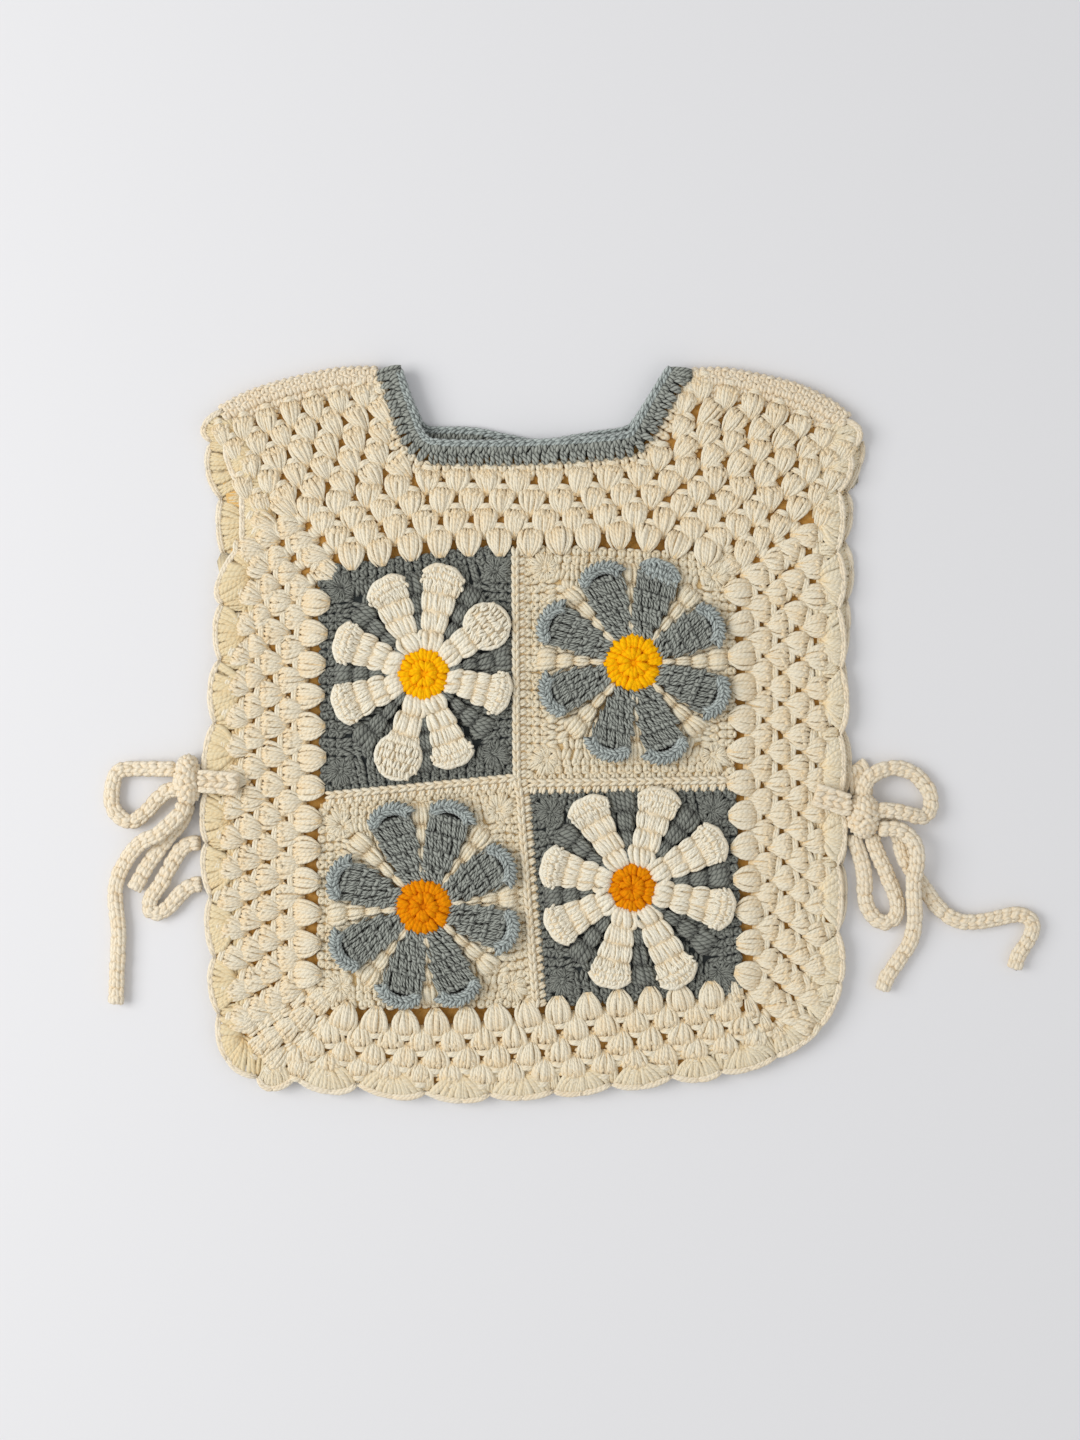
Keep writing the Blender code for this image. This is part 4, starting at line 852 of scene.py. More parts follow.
# Short stitches close the holes on the diagonal of the lower left corner, where the rounds turn.
CORNER_FILLS = [("left", (297, 1005)), ("left", (278, 1016)), ("left", (262, 1026)), ("hem", (316, 1028)),
                ("hem", (299, 1040)), ("left", (312, 989))]
for side, middle in CORNER_FILLS:
    middle = seen(*middle)
    reach = np.array((-0.0024, -0.0022)) + rng.uniform(-0.0004, 0.0004, 2)
    bundle(borders[side], middle - reach, middle + reach, 0.0025, BARREL, 4, CLUSTER_FLOOR,
           CLUSTER_RISE * 0.72, loose=0.5, plump=1.3, jitter=0.2)

ARM_END = 0.85              # a shoulder's row ends this share of a cluster beyond its last hole
shoulders = {"left": Yarn(), "right": Yarn()}
for side, rows_of_holes in (("left", LEFT_SHOULDER), ("right", RIGHT_SHOULDER)):
    inside = round_holes[3]["top"]
    for points, count in rows_of_holes:
        holes = holes_on(points, count)
        before_first = holes[0] - (holes[1] - holes[0]) * ARM_END
        after_last = holes[-1] + (holes[-1] - holes[-2]) * ARM_END
        run = [before_first, *holes] if side == "left" else [*holes, after_last]
        work_row(shoulders[side], np.array(run), inside)
        inside = holes

for side, node in BORDER_NODES.items():
    add_yarn("clusters_" + side, borders[side], CREAM, node)
for side, middle, target in (("right", (690, 379), (686, 398)), ("left", (377, 381), (386, 396))):
    bundle(shoulders[side], seen(*target), seen(*middle), 0.0030, EGG, 4, 0.0046, 0.0024, jitter=0.2,
           loose=0.5, plump=1.4)
for side, yarn in shoulders.items():
    add_yarn("clusters_shoulder_" + side, yarn, CREAM, "front_shoulder_" + side)

# %% [markdown]
# ## The shell edging
#
# Both panels end in shells: fans of long stitches that are worked into one place and spread to a scalloped
# rim, with a chain along it. Each shell is laid as strands from its root to the rim, and the chain follows
# the scallops.

# %% Rims
FRONT_RIM = [
    (-0.1475, 0.1290), (-0.1420, 0.1120), (-0.1430, 0.0900), (-0.1495, 0.0600), (-0.1560, 0.0200),
    (-0.1593, -0.0300), (-0.1590, -0.0700), (-0.1560, -0.1200), (-0.1515, -0.1470), (-0.1430, -0.1620),
    (-0.1280, -0.1690), (-0.1000, -0.1725), (-0.0350, -0.1760), (0.0230, -0.1740), (0.0800, -0.1665),
    (0.1160, -0.1570), (0.1380, -0.1400), (0.1480, -0.1150), (0.1510, -0.0700), (0.1505, 0.0000),
    (0.1495, 0.0500), (0.1472, 0.0880), (0.1490, 0.1100), (0.1530, 0.1270),
]
BACK_RIM = [
    (-0.1595, 0.1280), (-0.1545, 0.1100), (-0.1528, 0.0880), (-0.1510, 0.0600), (-0.1545, 0.0200),
    (-0.1573, -0.0300), (-0.1570, -0.0700), (-0.1540, -0.1200), (-0.1495, -0.1455), (-0.1410, -0.1600),
    (-0.1265, -0.1668), (-0.1000, -0.1700), (-0.0350, -0.1735), (0.0230, -0.1715), (0.0800, -0.1640),
    (0.1145, -0.1548), (0.1360, -0.1385), (0.1460, -0.1150), (0.1494, -0.0700), (0.1520, 0.0000),
    (0.1528, 0.0500), (0.1535, 0.0840), (0.1555, 0.1080), (0.1596, 0.1260),
]
FRONT_LINE = Line([plan(*p) for p in FRONT_RIM])
BACK_LINE = Line([plan(*p) for p in BACK_RIM])
print("rims:", round(FRONT_LINE.length, 3), round(BACK_LINE.length, 3))

# %% Places of the shells
FRONT_SHELLS = {     # for each shell: its two notches, its tip and its root
    "left": [
        ((222, 409), (209, 441), (201, 425), (236, 433)), ((226, 440), (241, 489), (225, 463), (255, 458)),
        ((241, 489), (241, 543), (239, 515), (274, 516)),
        ((241, 543), (221, 604), (216, 580), (252, 572)), ((221, 604), (219, 660), (212, 630), (247, 632)),
        ((219, 660), (214, 723), (207, 688), (243, 690)), ((214, 723), (205, 790), (202, 752), (238, 752)),
        ((205, 790), (206, 843), (199, 818), (232, 820)), ((206, 843), (210, 897), (200, 868), (233, 866)),
        ((210, 897), (214, 957), (204, 928), (237, 925)), ((214, 957), (218, 1014), (207, 985), (240, 985)),
        ((218, 1014), (257, 1078), (224, 1060), (243, 1037)),
    ],
    "hem": [
        ((257, 1078), (295, 1079), (272, 1092), (275, 1061)),
        ((295, 1079), (357, 1085), (330, 1095), (328, 1061)),
        ((357, 1085), (425, 1093), (394, 1100), (394, 1070)),
        ((425, 1093), (490, 1095), (462, 1104), (460, 1073)),
        ((490, 1095), (553, 1092), (522, 1101), (522, 1072)),
        ((553, 1092), (612, 1085), (580, 1097), (582, 1067)),
        ((612, 1085), (672, 1077), (642, 1090), (640, 1060)),
        ((672, 1077), (722, 1072), (700, 1083), (697, 1053)),
        ((722, 1072), (777, 1057), (750, 1072), (742, 1042)),
        ((777, 1057), (822, 1026), (803, 1047), (782, 1024)),
    ],
    "right": [
        ((822, 1026), (841, 983), (837, 1005), (803, 999)), ((841, 983), (838, 932), (846, 960), (817, 960)),
        ((838, 932), (838, 865), (844, 897), (819, 897)), ((838, 865), (839, 800), (848, 834), (819, 834)),
        ((839, 800), (841, 734), (847, 768), (819, 768)), ((841, 734), (841, 668), (850, 702), (821, 702)),
        ((841, 668), (839, 608), (847, 640), (819, 640)), ((839, 608), (838, 551), (847, 580), (818, 580)),
        ((838, 551), (839, 492), (846, 520), (817, 521)), ((839, 492), (848, 452), (854, 470), (824, 468)),
        ((849, 451), (840, 418), (863, 431), (826, 438)),
    ],
}
BACK_SHELLS = {      # only the upper ones show: the others follow the front's, a little further in
    "left": [
        ((211, 440), (219, 498), (203, 467), (250, 466)), ((219, 498), (222, 556), (214, 525), (256, 525)),
        ((222, 556), (222, 606), (218, 580), (256, 580)),
    ],
    "right": [
        ((841, 928), (843, 865), (849, 897), (820, 897)), ((843, 865), (845, 798), (850, 834), (820, 832)),
        ((845, 798), (845, 730), (854, 763), (823, 765)), ((845, 730), (845, 660), (850, 697), (821, 697)),
        ((845, 660), (848, 600), (852, 629), (824, 630)), ((848, 600), (845, 540), (856, 568), (826, 570)),
        ((845, 540), (848, 491), (855, 513), (828, 515)), ((848, 491), (864, 440), (864, 464), (836, 464)),
    ],
}


def drawn_in(shell_places, pixels):
    """The same shell, nearer to its root."""
    first, last, tip, root = (np.array(p, float) for p in shell_places)
    inward = unit(root - (first + last) / 2) * pixels
    return tuple(tuple(p + inward) for p in (first, last, tip, root))


BACK_SHELLS["left"].insert(0, drawn_in(FRONT_SHELLS["left"][0], 2))
BACK_SHELLS["left"] += [drawn_in(places, 3) for places in FRONT_SHELLS["left"][4:-1]]
BACK_SHELLS["left"].append(drawn_in(FRONT_SHELLS["left"][-1], 9))
BACK_SHELLS["hem"] = [drawn_in(places, 3) for places in FRONT_SHELLS["hem"]]
BACK_SHELLS["right"] = [drawn_in(places, 3) for places in FRONT_SHELLS["right"][:2]] + BACK_SHELLS["right"]
BACK_SHELLS["right"].append(drawn_in(FRONT_SHELLS["right"][-1], 2))
print("shells:", {side: len(shells) for side, shells in FRONT_SHELLS.items()})

# %% Shells
SHELL_STRANDS = 16
SHELL_RISE = 0.0027
WIDE_SHELL = 0.0170          # a shell with a wider half turns a corner, and its core stays near its middle


def scallop(first, last, tip, share):
    """Places on the scalloped rim between two notches."""
    middle = (first + last) / 2
    swell = 1 - np.abs(2 * share - 1) ** 2.3
    return first + (last - first) * np.expand_dims(share, -1) + (tip - middle) * np.expand_dims(swell, -1)


def shell(yarn, rims, places, floor):
    """A fan of strands from the shell's root to its rim, over a flat core, with a chain along the rim."""
    first, last, tip, root = (seen(*p) for p in places)
    tip = tip + unit(root - tip) * 0.0010
    half = np.linalg.norm(last - first) / 2
    fan_path = root + (tip - root) * np.linspace(-0.05, 0.93, LONG)[:, None]
    core_half = half * (1.0 if half < WIDE_SHELL else 0.45)
    yarn.core(fan_path, floor + SHELL_RISE * 0.28, core_half * (0.25 + 0.75 * T_LONG**0.7), SHELL_RISE * 0.42,
              deep=0.9)
    for number in range(SHELL_STRANDS):
        share = 0.03 + 0.94 * number / (SHELL_STRANDS - 1) + rng.uniform(-0.02, 0.02)
        end = scallop(first, last, tip, share)
        end = end + unit(root - end) * 0.0010
        start = root + (end - root) * rng.uniform(0.02, 0.16)
        sideways = turned(end - start)
        bend = (share - 0.5) * 0.22 + rng.uniform(-0.05, 0.05)
        wave = rng.uniform(-0.05, 0.05)
        sway = bend * np.sin(math.pi * T_LONG) + wave * np.sin(2 * math.pi * T_LONG)
        rise = SHELL_RISE * np.interp(T_LONG, (0, 0.35, 0.7, 1), (0.5, 1.0, 0.80, 0.50))
        lift = rise * rng.uniform(0.82, 1.10)
        thick = np.interp(T_LONG, (0, 0.3, 1), (0.00075, 0.00115, 0.00140)) * min(1.2, half / 0.0135)
        thick = thick * rng.uniform(0.85, 1.15)
        yarn.over(straight(start, end, LONG) + sideways * sway[:, None], floor + lift, thick, thick * 0.85,
                  deep=np.interp(T_LONG, (0, 0.35, 1), (0.35, 0.9, 1)))
    for stretch in halves(0.53):
        for shift in (0.0, 0.0011):
            rim = scallop(first, last, tip, stretch)
            wave = 0.0004 * np.sin(5 * math.pi * T_LONG + rng.uniform(0, 6))
            rims.over(rim + unit(root - rim) * shift, floor + SHELL_RISE * 0.62 + wave,
                      rng.uniform(0.0009, 0.0012), deep=0.95)


def between_shells(yarn, one, other, floor):
    """Two short bundles that close the corner between two shells: to their notch, and from root to root."""
    notch, root, next_root = seen(*one[1]), seen(*one[3]), seen(*other[3])
    middle = (root + next_root) / 2
    outward = unit(notch - middle)
    bundle(yarn, middle - outward * 0.0010, notch - outward * 0.0006, 0.0040, FAN * 0.3 + 0.7, 6, floor,
           SHELL_RISE * 0.80, loose=0.6, jitter=0.2, plump=1.2)
    bundle(yarn, root + (middle - root) * 0.10, next_root + (middle - next_root) * 0.10, 0.0026, BARREL, 3,
           floor, SHELL_RISE * 0.70, loose=0.6, jitter=0.2, plump=1.2)


for layer, shells, floor in (("front", FRONT_SHELLS, 0.0045), ("back", BACK_SHELLS, 0.0007)):
    for side, following in (("left", "hem"), ("hem", "right"), ("right", None)):
        places = shells[side]
        yarn, rims = Yarn(0.75, coarse=layer == "back"), Yarn(coarse=layer == "back")
        for shell_places in places:
            shell(yarn, rims, shell_places, floor)
        onward = shells[following][:1] if following else []
        for one, other in zip(places, places[1:] + onward):
            between_shells(yarn, one, other, floor)
        add_yarn(f"shells_{layer}_{side}", yarn, EDGINGS[side], f"{layer}_edging_{side}")
        add_yarn(f"rims_{layer}_{side}", rims, CREAM_TIES)

# %% [markdown]
# ## The cloth behind the stitches
#
# Between the stitches the yarn goes on in depth, where little light gets to it. A thin sheet in the vest's
# own outline closes each panel there, in painted shade colours. It is one face that is given the outline
# and a thickness.

# %% Panels
LEFT_FOLD = [(-0.0745, 0.1746), (-0.0930, 0.1740), (-0.1120, 0.1702), (-0.1270, 0.1662), (-0.1390, 0.1617),
             (-0.1455, 0.1582), (-0.1520, 0.1547), (-0.1585, 0.1512)]
RIGHT_FOLD = [(0.0765, 0.1738), (0.0935, 0.1738), (0.1150, 0.1697), (0.1290, 0.1657), (0.1420, 0.1594),
              (0.1480, 0.1550), (0.1540, 0.1506), (0.1600, 0.1462)]
FRONT_BAND = [
    (390.5, 373), (397, 395), (405, 417), (413, 437), (423, 448), (438, 452), (480, 453), (520, 452.5),
    (560, 451), (595, 448.5), (620, 446), (636, 441), (645, 428), (656, 409), (667, 390), (677.5, 373),
]
BACK_BAND = [
    (391, 376), (398, 396), (406, 415), (414, 430), (425, 437), (440, 438), (474, 439), (508, 446),
    (540, 451), (575, 446), (600, 442), (622, 439), (636, 434), (646, 422), (656, 407), (667, 390),
    (677, 375),
]
FRONT_NECK, BACK_NECK = seen_line(FRONT_BAND), seen_line(BACK_BAND)
LEFT_TOP, RIGHT_TOP = (Line([plan(*p) for p in fold]) for fold in (LEFT_FOLD, RIGHT_FOLD))
CLOTH_INSET = 0.0075


def outline(rim, band):
    """A panel's closed outline: along the rim, over the right shoulder, round the neck, over the left one."""
    parts = [rim.at(np.linspace(0.012, 0.988, 160), CLOTH_INSET)]
    parts.append(RIGHT_TOP.at(np.linspace(0.84, 0.0, 14), -0.0030))
    parts.append(band.at(np.linspace(0.99, 0.01, 60), -0.0035))
    parts.append(LEFT_TOP.at(np.linspace(0.0, 0.84, 14), 0.0030))
    return np.concatenate(parts)


def raised_face(edge, floor, thickness):
    """One face with the outline given, made a closed slab."""
    bm = bmesh.new()
    for x, y in edge:
        bm.verts.new((x, y, floor))
    bmesh.ops.contextual_create(bm, geom=bm.verts[:])
    if bm.faces[:][0].normal.z < 0:
        bmesh.ops.reverse_faces(bm, faces=bm.faces)
    grown = bmesh.ops.extrude_face_region(bm, geom=bm.faces[:], use_keep_orig=True)["geom"]
    top = [v for v in grown if isinstance(v, bmesh.types.BMVert)]
    bmesh.ops.translate(bm, verts=top, vec=(0, 0, thickness))
    bmesh.ops.recalc_face_normals(bm, faces=bm.faces)
    return bm


def panel_mesh(name, edge, floor, thickness):
    bm = raised_face(edge, floor, thickness)
    bmesh.ops.triangulate(bm, faces=bm.faces)
    return finished(bm, name)


def area_of(edge):
    x, y = edge[:, 0], edge[:, 1]
    return abs(float((x * np.roll(y, -1) - np.roll(x, -1) * y).sum()) / 2)


def cloth_material(name, lit, deep):
    """Cloth that is seen only between stitches: painted shade, two dark colours in a soft grain of stitches in
    depth.
    """
    material = bpy.data.materials.new(name)
    material.use_nodes = True
    nodes, links = material.node_tree.nodes, material.node_tree.links
    shader = nodes["Principled BSDF"]
    shader.inputs["Roughness"].default_value = 0.95
    shader.inputs["Specular IOR Level"].default_value = 0.1
    where = nodes.new("ShaderNodeTexCoord").outputs["Object"]
    cells = nodes.new("ShaderNodeTexVoronoi")
    cells.inputs["Scale"].default_value = 420.0
    links.new(where, cells.inputs["Vector"])
    mix = nodes.new("ShaderNodeMix")
    mix.data_type = "RGBA"
    mix.inputs[6].default_value = lit
    mix.inputs[7].default_value = deep
    links.new(cells.outputs["Distance"], mix.inputs[0])
    links.new(mix.outputs[2], shader.inputs["Base Color"])
    bump = nodes.new("ShaderNodeBump")
    bump.inputs["Strength"].default_value = 0.6
    bump.inputs["Distance"].default_value = 0.0006
    links.new(cells.outputs["Distance"], bump.inputs["Height"])
    links.new(bump.outputs["Normal"], shader.inputs["Normal"])
    return material


# Painted shade: the colours of cream and slate yarn in shadow between the stitches.
WARM_PAINTED_SHADE = cloth_material("cream_yarn_painted_shade", srgb(205, 160, 92), srgb(176, 126, 56))
COOL_PAINTED_SHADE = cloth_material("slate_yarn_painted_shade", srgb(62, 67, 68), srgb(40, 44, 45))
front_edge = outline(FRONT_LINE, FRONT_NECK)
back_edge = outline(BACK_LINE, BACK_NECK)
front_cloth = add_piece("front_cloth", panel_mesh("front_cloth", front_edge, 0.0040, 0.0007), WARM_PAINTED_SHADE)
# The back cloth has no UV maps for the yarn look, so it shows mostly the edging's painted shade colour.
back_cloth = add_piece("back_cloth", panel_mesh("back_cloth", back_edge, 0.0004, 0.0024), EDGE_CREAM_PAINTED_SHADE,
                       "back_panel", "back_shoulder_left", "back_shoulder_right")
for cloth, edge in ((front_cloth, front_edge), (back_cloth, back_edge)):
    area_of(edge)
print("areas:", round(area_of(front_edge), 4), round(area_of(back_edge), 4))

# %% [markdown]
# ## The four squares
#
# Each square is a granny square: rounds of stitches around a daisy. Between the petals run ribs of raised
# posts that widen outwards, the corners are groups of posts that fan out of a small hole, and the last
# rounds are short stitches packed side by side. The ground is a thin block, and the stitches are laid on
# it.

# %% Measures of the squares
SQUARES = {
    "top_left": dict(
        ground="slate", petals="cream", heart="orange", centre=(424, 674), radius=0.0122,
        corners=[(-0.1020, 0.0800), (-0.0092, 0.0905), (-0.0085, -0.0205), (-0.1014, -0.0290)],
        tips=[(505, 613), (446, 567), (383, 580), (337, 639), (336, 708), (392, 778), (457, 765), (509, 696)],
        ends=["disc", "flap", "flap", "flap", "flap", "disc", "flap", "flap"],
    ),
    "top_right": dict(
        ground="cream", petals="slate", heart="orange", centre=(633, 663), radius=0.0136,
        corners=[(-0.0040, 0.0900), (0.0975, 0.0860), (0.0965, -0.0215), (-0.0032, -0.0232)],
        tips=[(720, 619), (663, 563), (596, 565), (541, 617), (542, 700), (604, 759), (670, 761), (726, 702)],
        ends=["lip", "flap"] + ["lip"] * 6,
    ),
    "bottom_left": dict(
        ground="cream", petals="slate", heart="amber", centre=(424, 906), radius=0.0131,
        corners=[(-0.1022, -0.0337), (-0.0073, -0.0250), (0.0008, -0.1309), (-0.1030, -0.1316)],
        tips=[(512, 858), (456, 802), (386, 805), (330, 873), (335, 956), (396, 1005), (464, 1002),
              (517, 934)],
        ends=["lip"] * 8,
    ),
    "bottom_right": dict(
        ground="slate", petals="cream", heart="amber", centre=(632, 887), radius=0.0113,
        corners=[(-0.0020, -0.0278), (0.0970, -0.0262), (0.1008, -0.1245), (0.0060, -0.1306)],
        tips=[(722, 837), (662, 789), (583, 799), (543, 863), (550, 930), (607, 985), (683, 983), (732, 911)],
        ends=["flap"] * 8,
    ),
}
GROUNDS = {"cream": CREAM_GROUND, "slate": SLATE_GROUND}
PETALS = {"cream": CREAM_PETALS, "slate": SLATE}
HEARTS = {"orange": ORANGE, "amber": AMBER}
# A square's block shows only between its stitches, so it is painted in shade: cream or slate yarn in shadow.
BLOCK_PAINTED_SHADES = {"cream": cloth_material("cream_yarn_ground_painted_shade", srgb(232, 208, 162), srgb(206, 174, 120)),
          "slate": COOL_PAINTED_SHADE}
# How much painted shade the cores under a square's ground and petals show: the slate cores are painted almost all
# in the shade colour, so the gaps between their strands read dark.
CORE_PAINTED_SHADING = {"cream": 0.45, "slate": 0.0}
GROUND_TOP = 0.0062
SC_STEP = 0.0043            # from one short stitch to the next along a side
SC_DEPTH = 0.0038           # and from one round of them to the next


def short_stitch(yarn, place, along, out, level, bar=True, leg=0.00118):
    """Two short legs that open outwards in a V and, on the outer side, the bar across their tops."""
    for side in (-1, 1):
        foot = place - out * SC_DEPTH * 0.60 + along * side * rng.uniform(-0.0002, 0.0004)
        head = place + out * SC_DEPTH * 0.50 + along * side * SC_STEP * rng.uniform(0.32, 0.44)
        lift = rng.uniform(0.0006, 0.0012) * np.sin(math.pi * (0.1 + 0.8 * T_SHORT))
        yarn.over(straight(foot, head), level + lift, leg, deep=0.45 + 0.5 * SWELL)
    if bar:
        reach = (along + out * rng.uniform(-0.25, 0.25)) * SC_STEP * 0.80
        middle = place + out * SC_DEPTH * rng.uniform(0.35, 0.55)
        path = straight(middle - reach / 2, middle + reach / 2)
        yarn.over(path, level + 0.0004 + 0.0007 * SWELL, 0.00090, deep=0.9)


def along_side(corner, following, inset, step, play):
    """Places along a side of a square, some way in from it, one step apart and each moved by up to play."""
    along = unit(following - corner)
    start = corner + (along - turned(along)) * inset
    length = np.linalg.norm(following - corner) - 2 * inset
    number = max(1, int(round(length / step)))
    for k in range(number):
        yield start + along * (length * (k + 0.5) / number + rng.uniform(-play, play))


SC_RANKS = 3                # rounds of short stitches along the sides of a square
POST_RANKS = 4              # rounds of posts inside them
POST_RANK_INSET = 0.0128    # from the side to the first of these rounds, and from each to the next
POST_RANK_DEPTH = 0.0050
POST_APART = 0.0048
CORNER_HOLE = 0.0150        # from a corner to its hole
CORNER_POSTS = (            # around that hole: degrees from the way to the middle, reach and half width
    (-76, 0.0070, 0.0016), (-48, 0.0082, 0.0017), (-18, 0.0098, 0.0019), (18, 0.0098, 0.0019),
    (48, 0.0082, 0.0017), (76, 0.0070, 0.0016), (-110, 0.0062, 0.0015), (110, 0.0062, 0.0015),
    (-150, 0.0062, 0.0015), (150, 0.0062, 0.0015),
)


def square_ground(square):
    yarn = Yarn(CORE_PAINTED_SHADING[square["ground"]], coarse=True)
    plump, leg = (0.88, 0.00106) if square["ground"] == "slate" else (1.15, 0.00118)
    corners = [plan(*c) for c in square["corners"]]
    middle = seen(*square["centre"])
    for corner, following in zip(corners, corners[1:] + corners[:1]):
        along = unit(following - corner)
        out = turned(along)
        for rank in range(SC_RANKS):
            level = GROUND_TOP - (0.0002 if rank == 0 else 0.0)
            for place in along_side(corner, following, SC_DEPTH * (rank + 0.45), SC_STEP, 0.0004):
                place = place + out * rng.uniform(-0.0003, 0.0003)
                short_stitch(yarn, place, along, out, level, leg=leg)
        for rank in range(POST_RANKS):
            inset = POST_RANK_INSET + POST_RANK_DEPTH * rank
            for place in along_side(corner, following, inset, POST_APART, 0.0007):
                lean = along * rng.choice((-1, 1)) * rng.uniform(0.0003, 0.0013)
                bundle(yarn, place - out * 0.0031 - lean, place + out * 0.0029 + lean, 0.0022, BARREL, 2,
                       GROUND_TOP - 0.0004, 0.0017, core=False, jitter=0.3, plump=plump)
    for corner in corners:
        towards = unit(middle - corner)
        hole = corner + towards * CORNER_HOLE
        for angle, reach, half in CORNER_POSTS:
            turn = math.radians(angle)
            ray = towards * math.cos(turn) + turned(towards) * math.sin(turn)
            bundle(yarn, hole - ray * 0.0010, hole - ray * reach, half, FAN * 0.55 + 0.45, 3,
                   GROUND_TOP + 0.0001, 0.0021, core=False, jitter=0.2, loose=0.5, plump=plump)
    return yarn


def rib_ends(square):
    """Where the ribs between the petals end: between each two tips, a little further in."""
    middle = seen(*square["centre"])
    tips = [seen(*t) - middle for t in square["tips"]]
    ends = []
    for tip, following in zip(tips, tips[1:] + tips[:1]):
        reach = (np.linalg.norm(tip) + np.linalg.norm(following)) / 2 * 0.94
        ends.append(middle + unit(unit(tip) + unit(following)) * reach)
    return ends


RIB_STEPS = (0.0, 0.22, 0.46, 0.72, 1.0)
RIB_HALVES = (0.0016, 0.0024, 0.0036, 0.0054)
RIB_COUNTS = (2, 3, 4, 5)


def ribs(yarn, square):
    middle = seen(*square["centre"])
    for end in rib_ends(square):
        start = middle + unit(end - middle) * square["radius"] * 0.94
        for first, last, half, count in zip(RIB_STEPS, RIB_STEPS[1:], RIB_HALVES, RIB_COUNTS):
            a, b = start + (end - start) * first, start + (end - start) * (last + 0.02)
            raised = 0.0016 * (1 - first) ** 2
            bundle(yarn, a, b, half, HEADED, count, GROUND_TOP + 0.0006 + raised, 0.0023, jitter=0.2,
                   loose=0.4, plump=1.25, slant=0.15)


BLOCK_FLOOR = 0.0042


def block_mesh(name, corners):
    """A square's own thin block, rounded along its upper rim."""
    bm = raised_face(corners, BLOCK_FLOOR, GROUND_TOP - BLOCK_FLOOR)
    upper = [e for e in bm.edges if all(v.co.z > (BLOCK_FLOOR + GROUND_TOP) / 2 for v in e.verts)]
    bmesh.ops.bevel(bm, geom=upper, offset=(GROUND_TOP - BLOCK_FLOOR) * 0.4, segments=2, profile=0.5,
                    affect="EDGES", material=-1)
    return finished(bm, name)


for name, square in SQUARES.items():
    block = block_mesh("block_" + name, [plan(*c) for c in square["corners"]])
    add_piece("block_" + name, block, BLOCK_PAINTED_SHADES[square["ground"]])
    yarn = square_ground(square)
    ribs(yarn, square)
    add_yarn("ground_" + name, yarn, GROUNDS[square["ground"]], "square_" + name)

# %% [markdown]
# ## Petals
#
# A petal is worked out from the daisy's middle in rows of posts, one more in each row, so it widens. Its
# free end rolls over: on the slate daisies as a thin lip around the tip, on the cream ones as a thick flap
# or a round cap. Each row is laid as short bundles side by side. The lips are covered in short legs, the
# flaps and caps in small stitches.

# %% Rows of a petal
PETAL_FLOOR = 0.0082
PETAL_HALF = 0.0102
SLATE_PROFILE = ((0.0, 0.38), (0.2, 0.62), (0.4, 0.80), (0.6, 0.92), (0.85, 1.0), (1.0, 0.92))
CREAM_PROFILE = ((0.0, 0.42), (0.25, 0.57), (0.5, 0.71), (0.75, 0.86), (0.9, 0.95), (1.0, 0.92))
SLATE_ROWS = ((0.0, 0.20, 2), (0.18, 0.39, 3), (0.37, 0.58, 4), (0.56, 0.81, 5))
CREAM_ROWS = ((0.0, 0.25, 1), (0.22, 0.47, 2), (0.45, 0.68, 3), (0.66, 0.86, 4))


def petal_half(share, profile):
    shares, halves_there = zip(*profile)
    return PETAL_HALF * np.interp(share, shares, halves_there)


def crowned(across, crown):
    """The level below a petal's stitches. A petal is higher along its middle."""
    return PETAL_FLOOR + crown * math.sqrt(max(0.05, 1 - (0.8 * across) ** 2)) * 0.45


def petal_core(yarn, root, tip, profile):
    """A flat body under the stitches of a petal, which closes the gaps between them."""
    reach = 0.95 * T_LONG
    level = PETAL_FLOOR + 0.0008 + 0.00054 * np.sin(math.pi * T_LONG)
    yarn.core(root + (tip - root) * reach[:, None], level, petal_half(reach, profile) * 0.97, 0.0013)


def cream_rows(yarn, root, tip, rows_used):
    """Rows of plump posts that widen outwards, so each row's head stands over the start of the next."""
    ahead = tip - root
    side = turned(unit(ahead))
    for first, last, count in rows_used:
        near, far = petal_half(first + 0.04, CREAM_PROFILE), petal_half(last, CREAM_PROFILE)
        for k in range(count):
            across = (2 * k + 1) / count - 1
            a = root + ahead * (first + 0.01) + side * across * near
            b = root + ahead * (last + rng.uniform(-0.005, 0.015)) + side * across * far
            level = crowned(across, 0.0022) + rng.uniform(-0.0001, 0.0001)
            bundle(yarn, a, b, far / count * 1.02, HEADED, 5 if count == 1 else 4, level, 0.0022,
                   jitter=0.25, slant=rng.uniform(0.0, 0.4), plump=1.2, loose=0.5)


def slate_rows(yarn, root, tip):
    """Rows of posts, each three strands and the V of its head. The petal's sides turn up a little."""
    ahead = tip - root
    side = turned(unit(ahead))
    for first, last, count in SLATE_ROWS:
        near, far = petal_half(first + 0.04, SLATE_PROFILE), petal_half(last, SLATE_PROFILE)
        half = petal_half((first + last) / 2, SLATE_PROFILE) / count
        for k in range(count):
            across = (2 * k + 1 + rng.uniform(-0.15, 0.15)) / count - 1
            lean = rng.uniform(0.30, 0.70) / count
            a = root + ahead * (first + 0.01) + side * (across - lean) * near
            b = root + ahead * last + side * (across + lean) * far
            level = crowned(across, 0.0018) + 0.0008 * across**2 * last
            bundle(yarn, a, a + (b - a) * 0.90, half * 0.96, BARREL, 3, level, 0.0021, core=False,
                   jitter=0.15, plump=0.98, loose=0.4, round_off=0.6)
            for leg in (-1, 1):
                head = b + side * leg * half * 0.85 + ahead * 0.015
                yarn.over(straight(b - (b - a) * 0.30, head), level + 0.0016 + 0.0006 * SWELL, 0.00118,
                          deep=0.5 + 0.5 * SWELL)


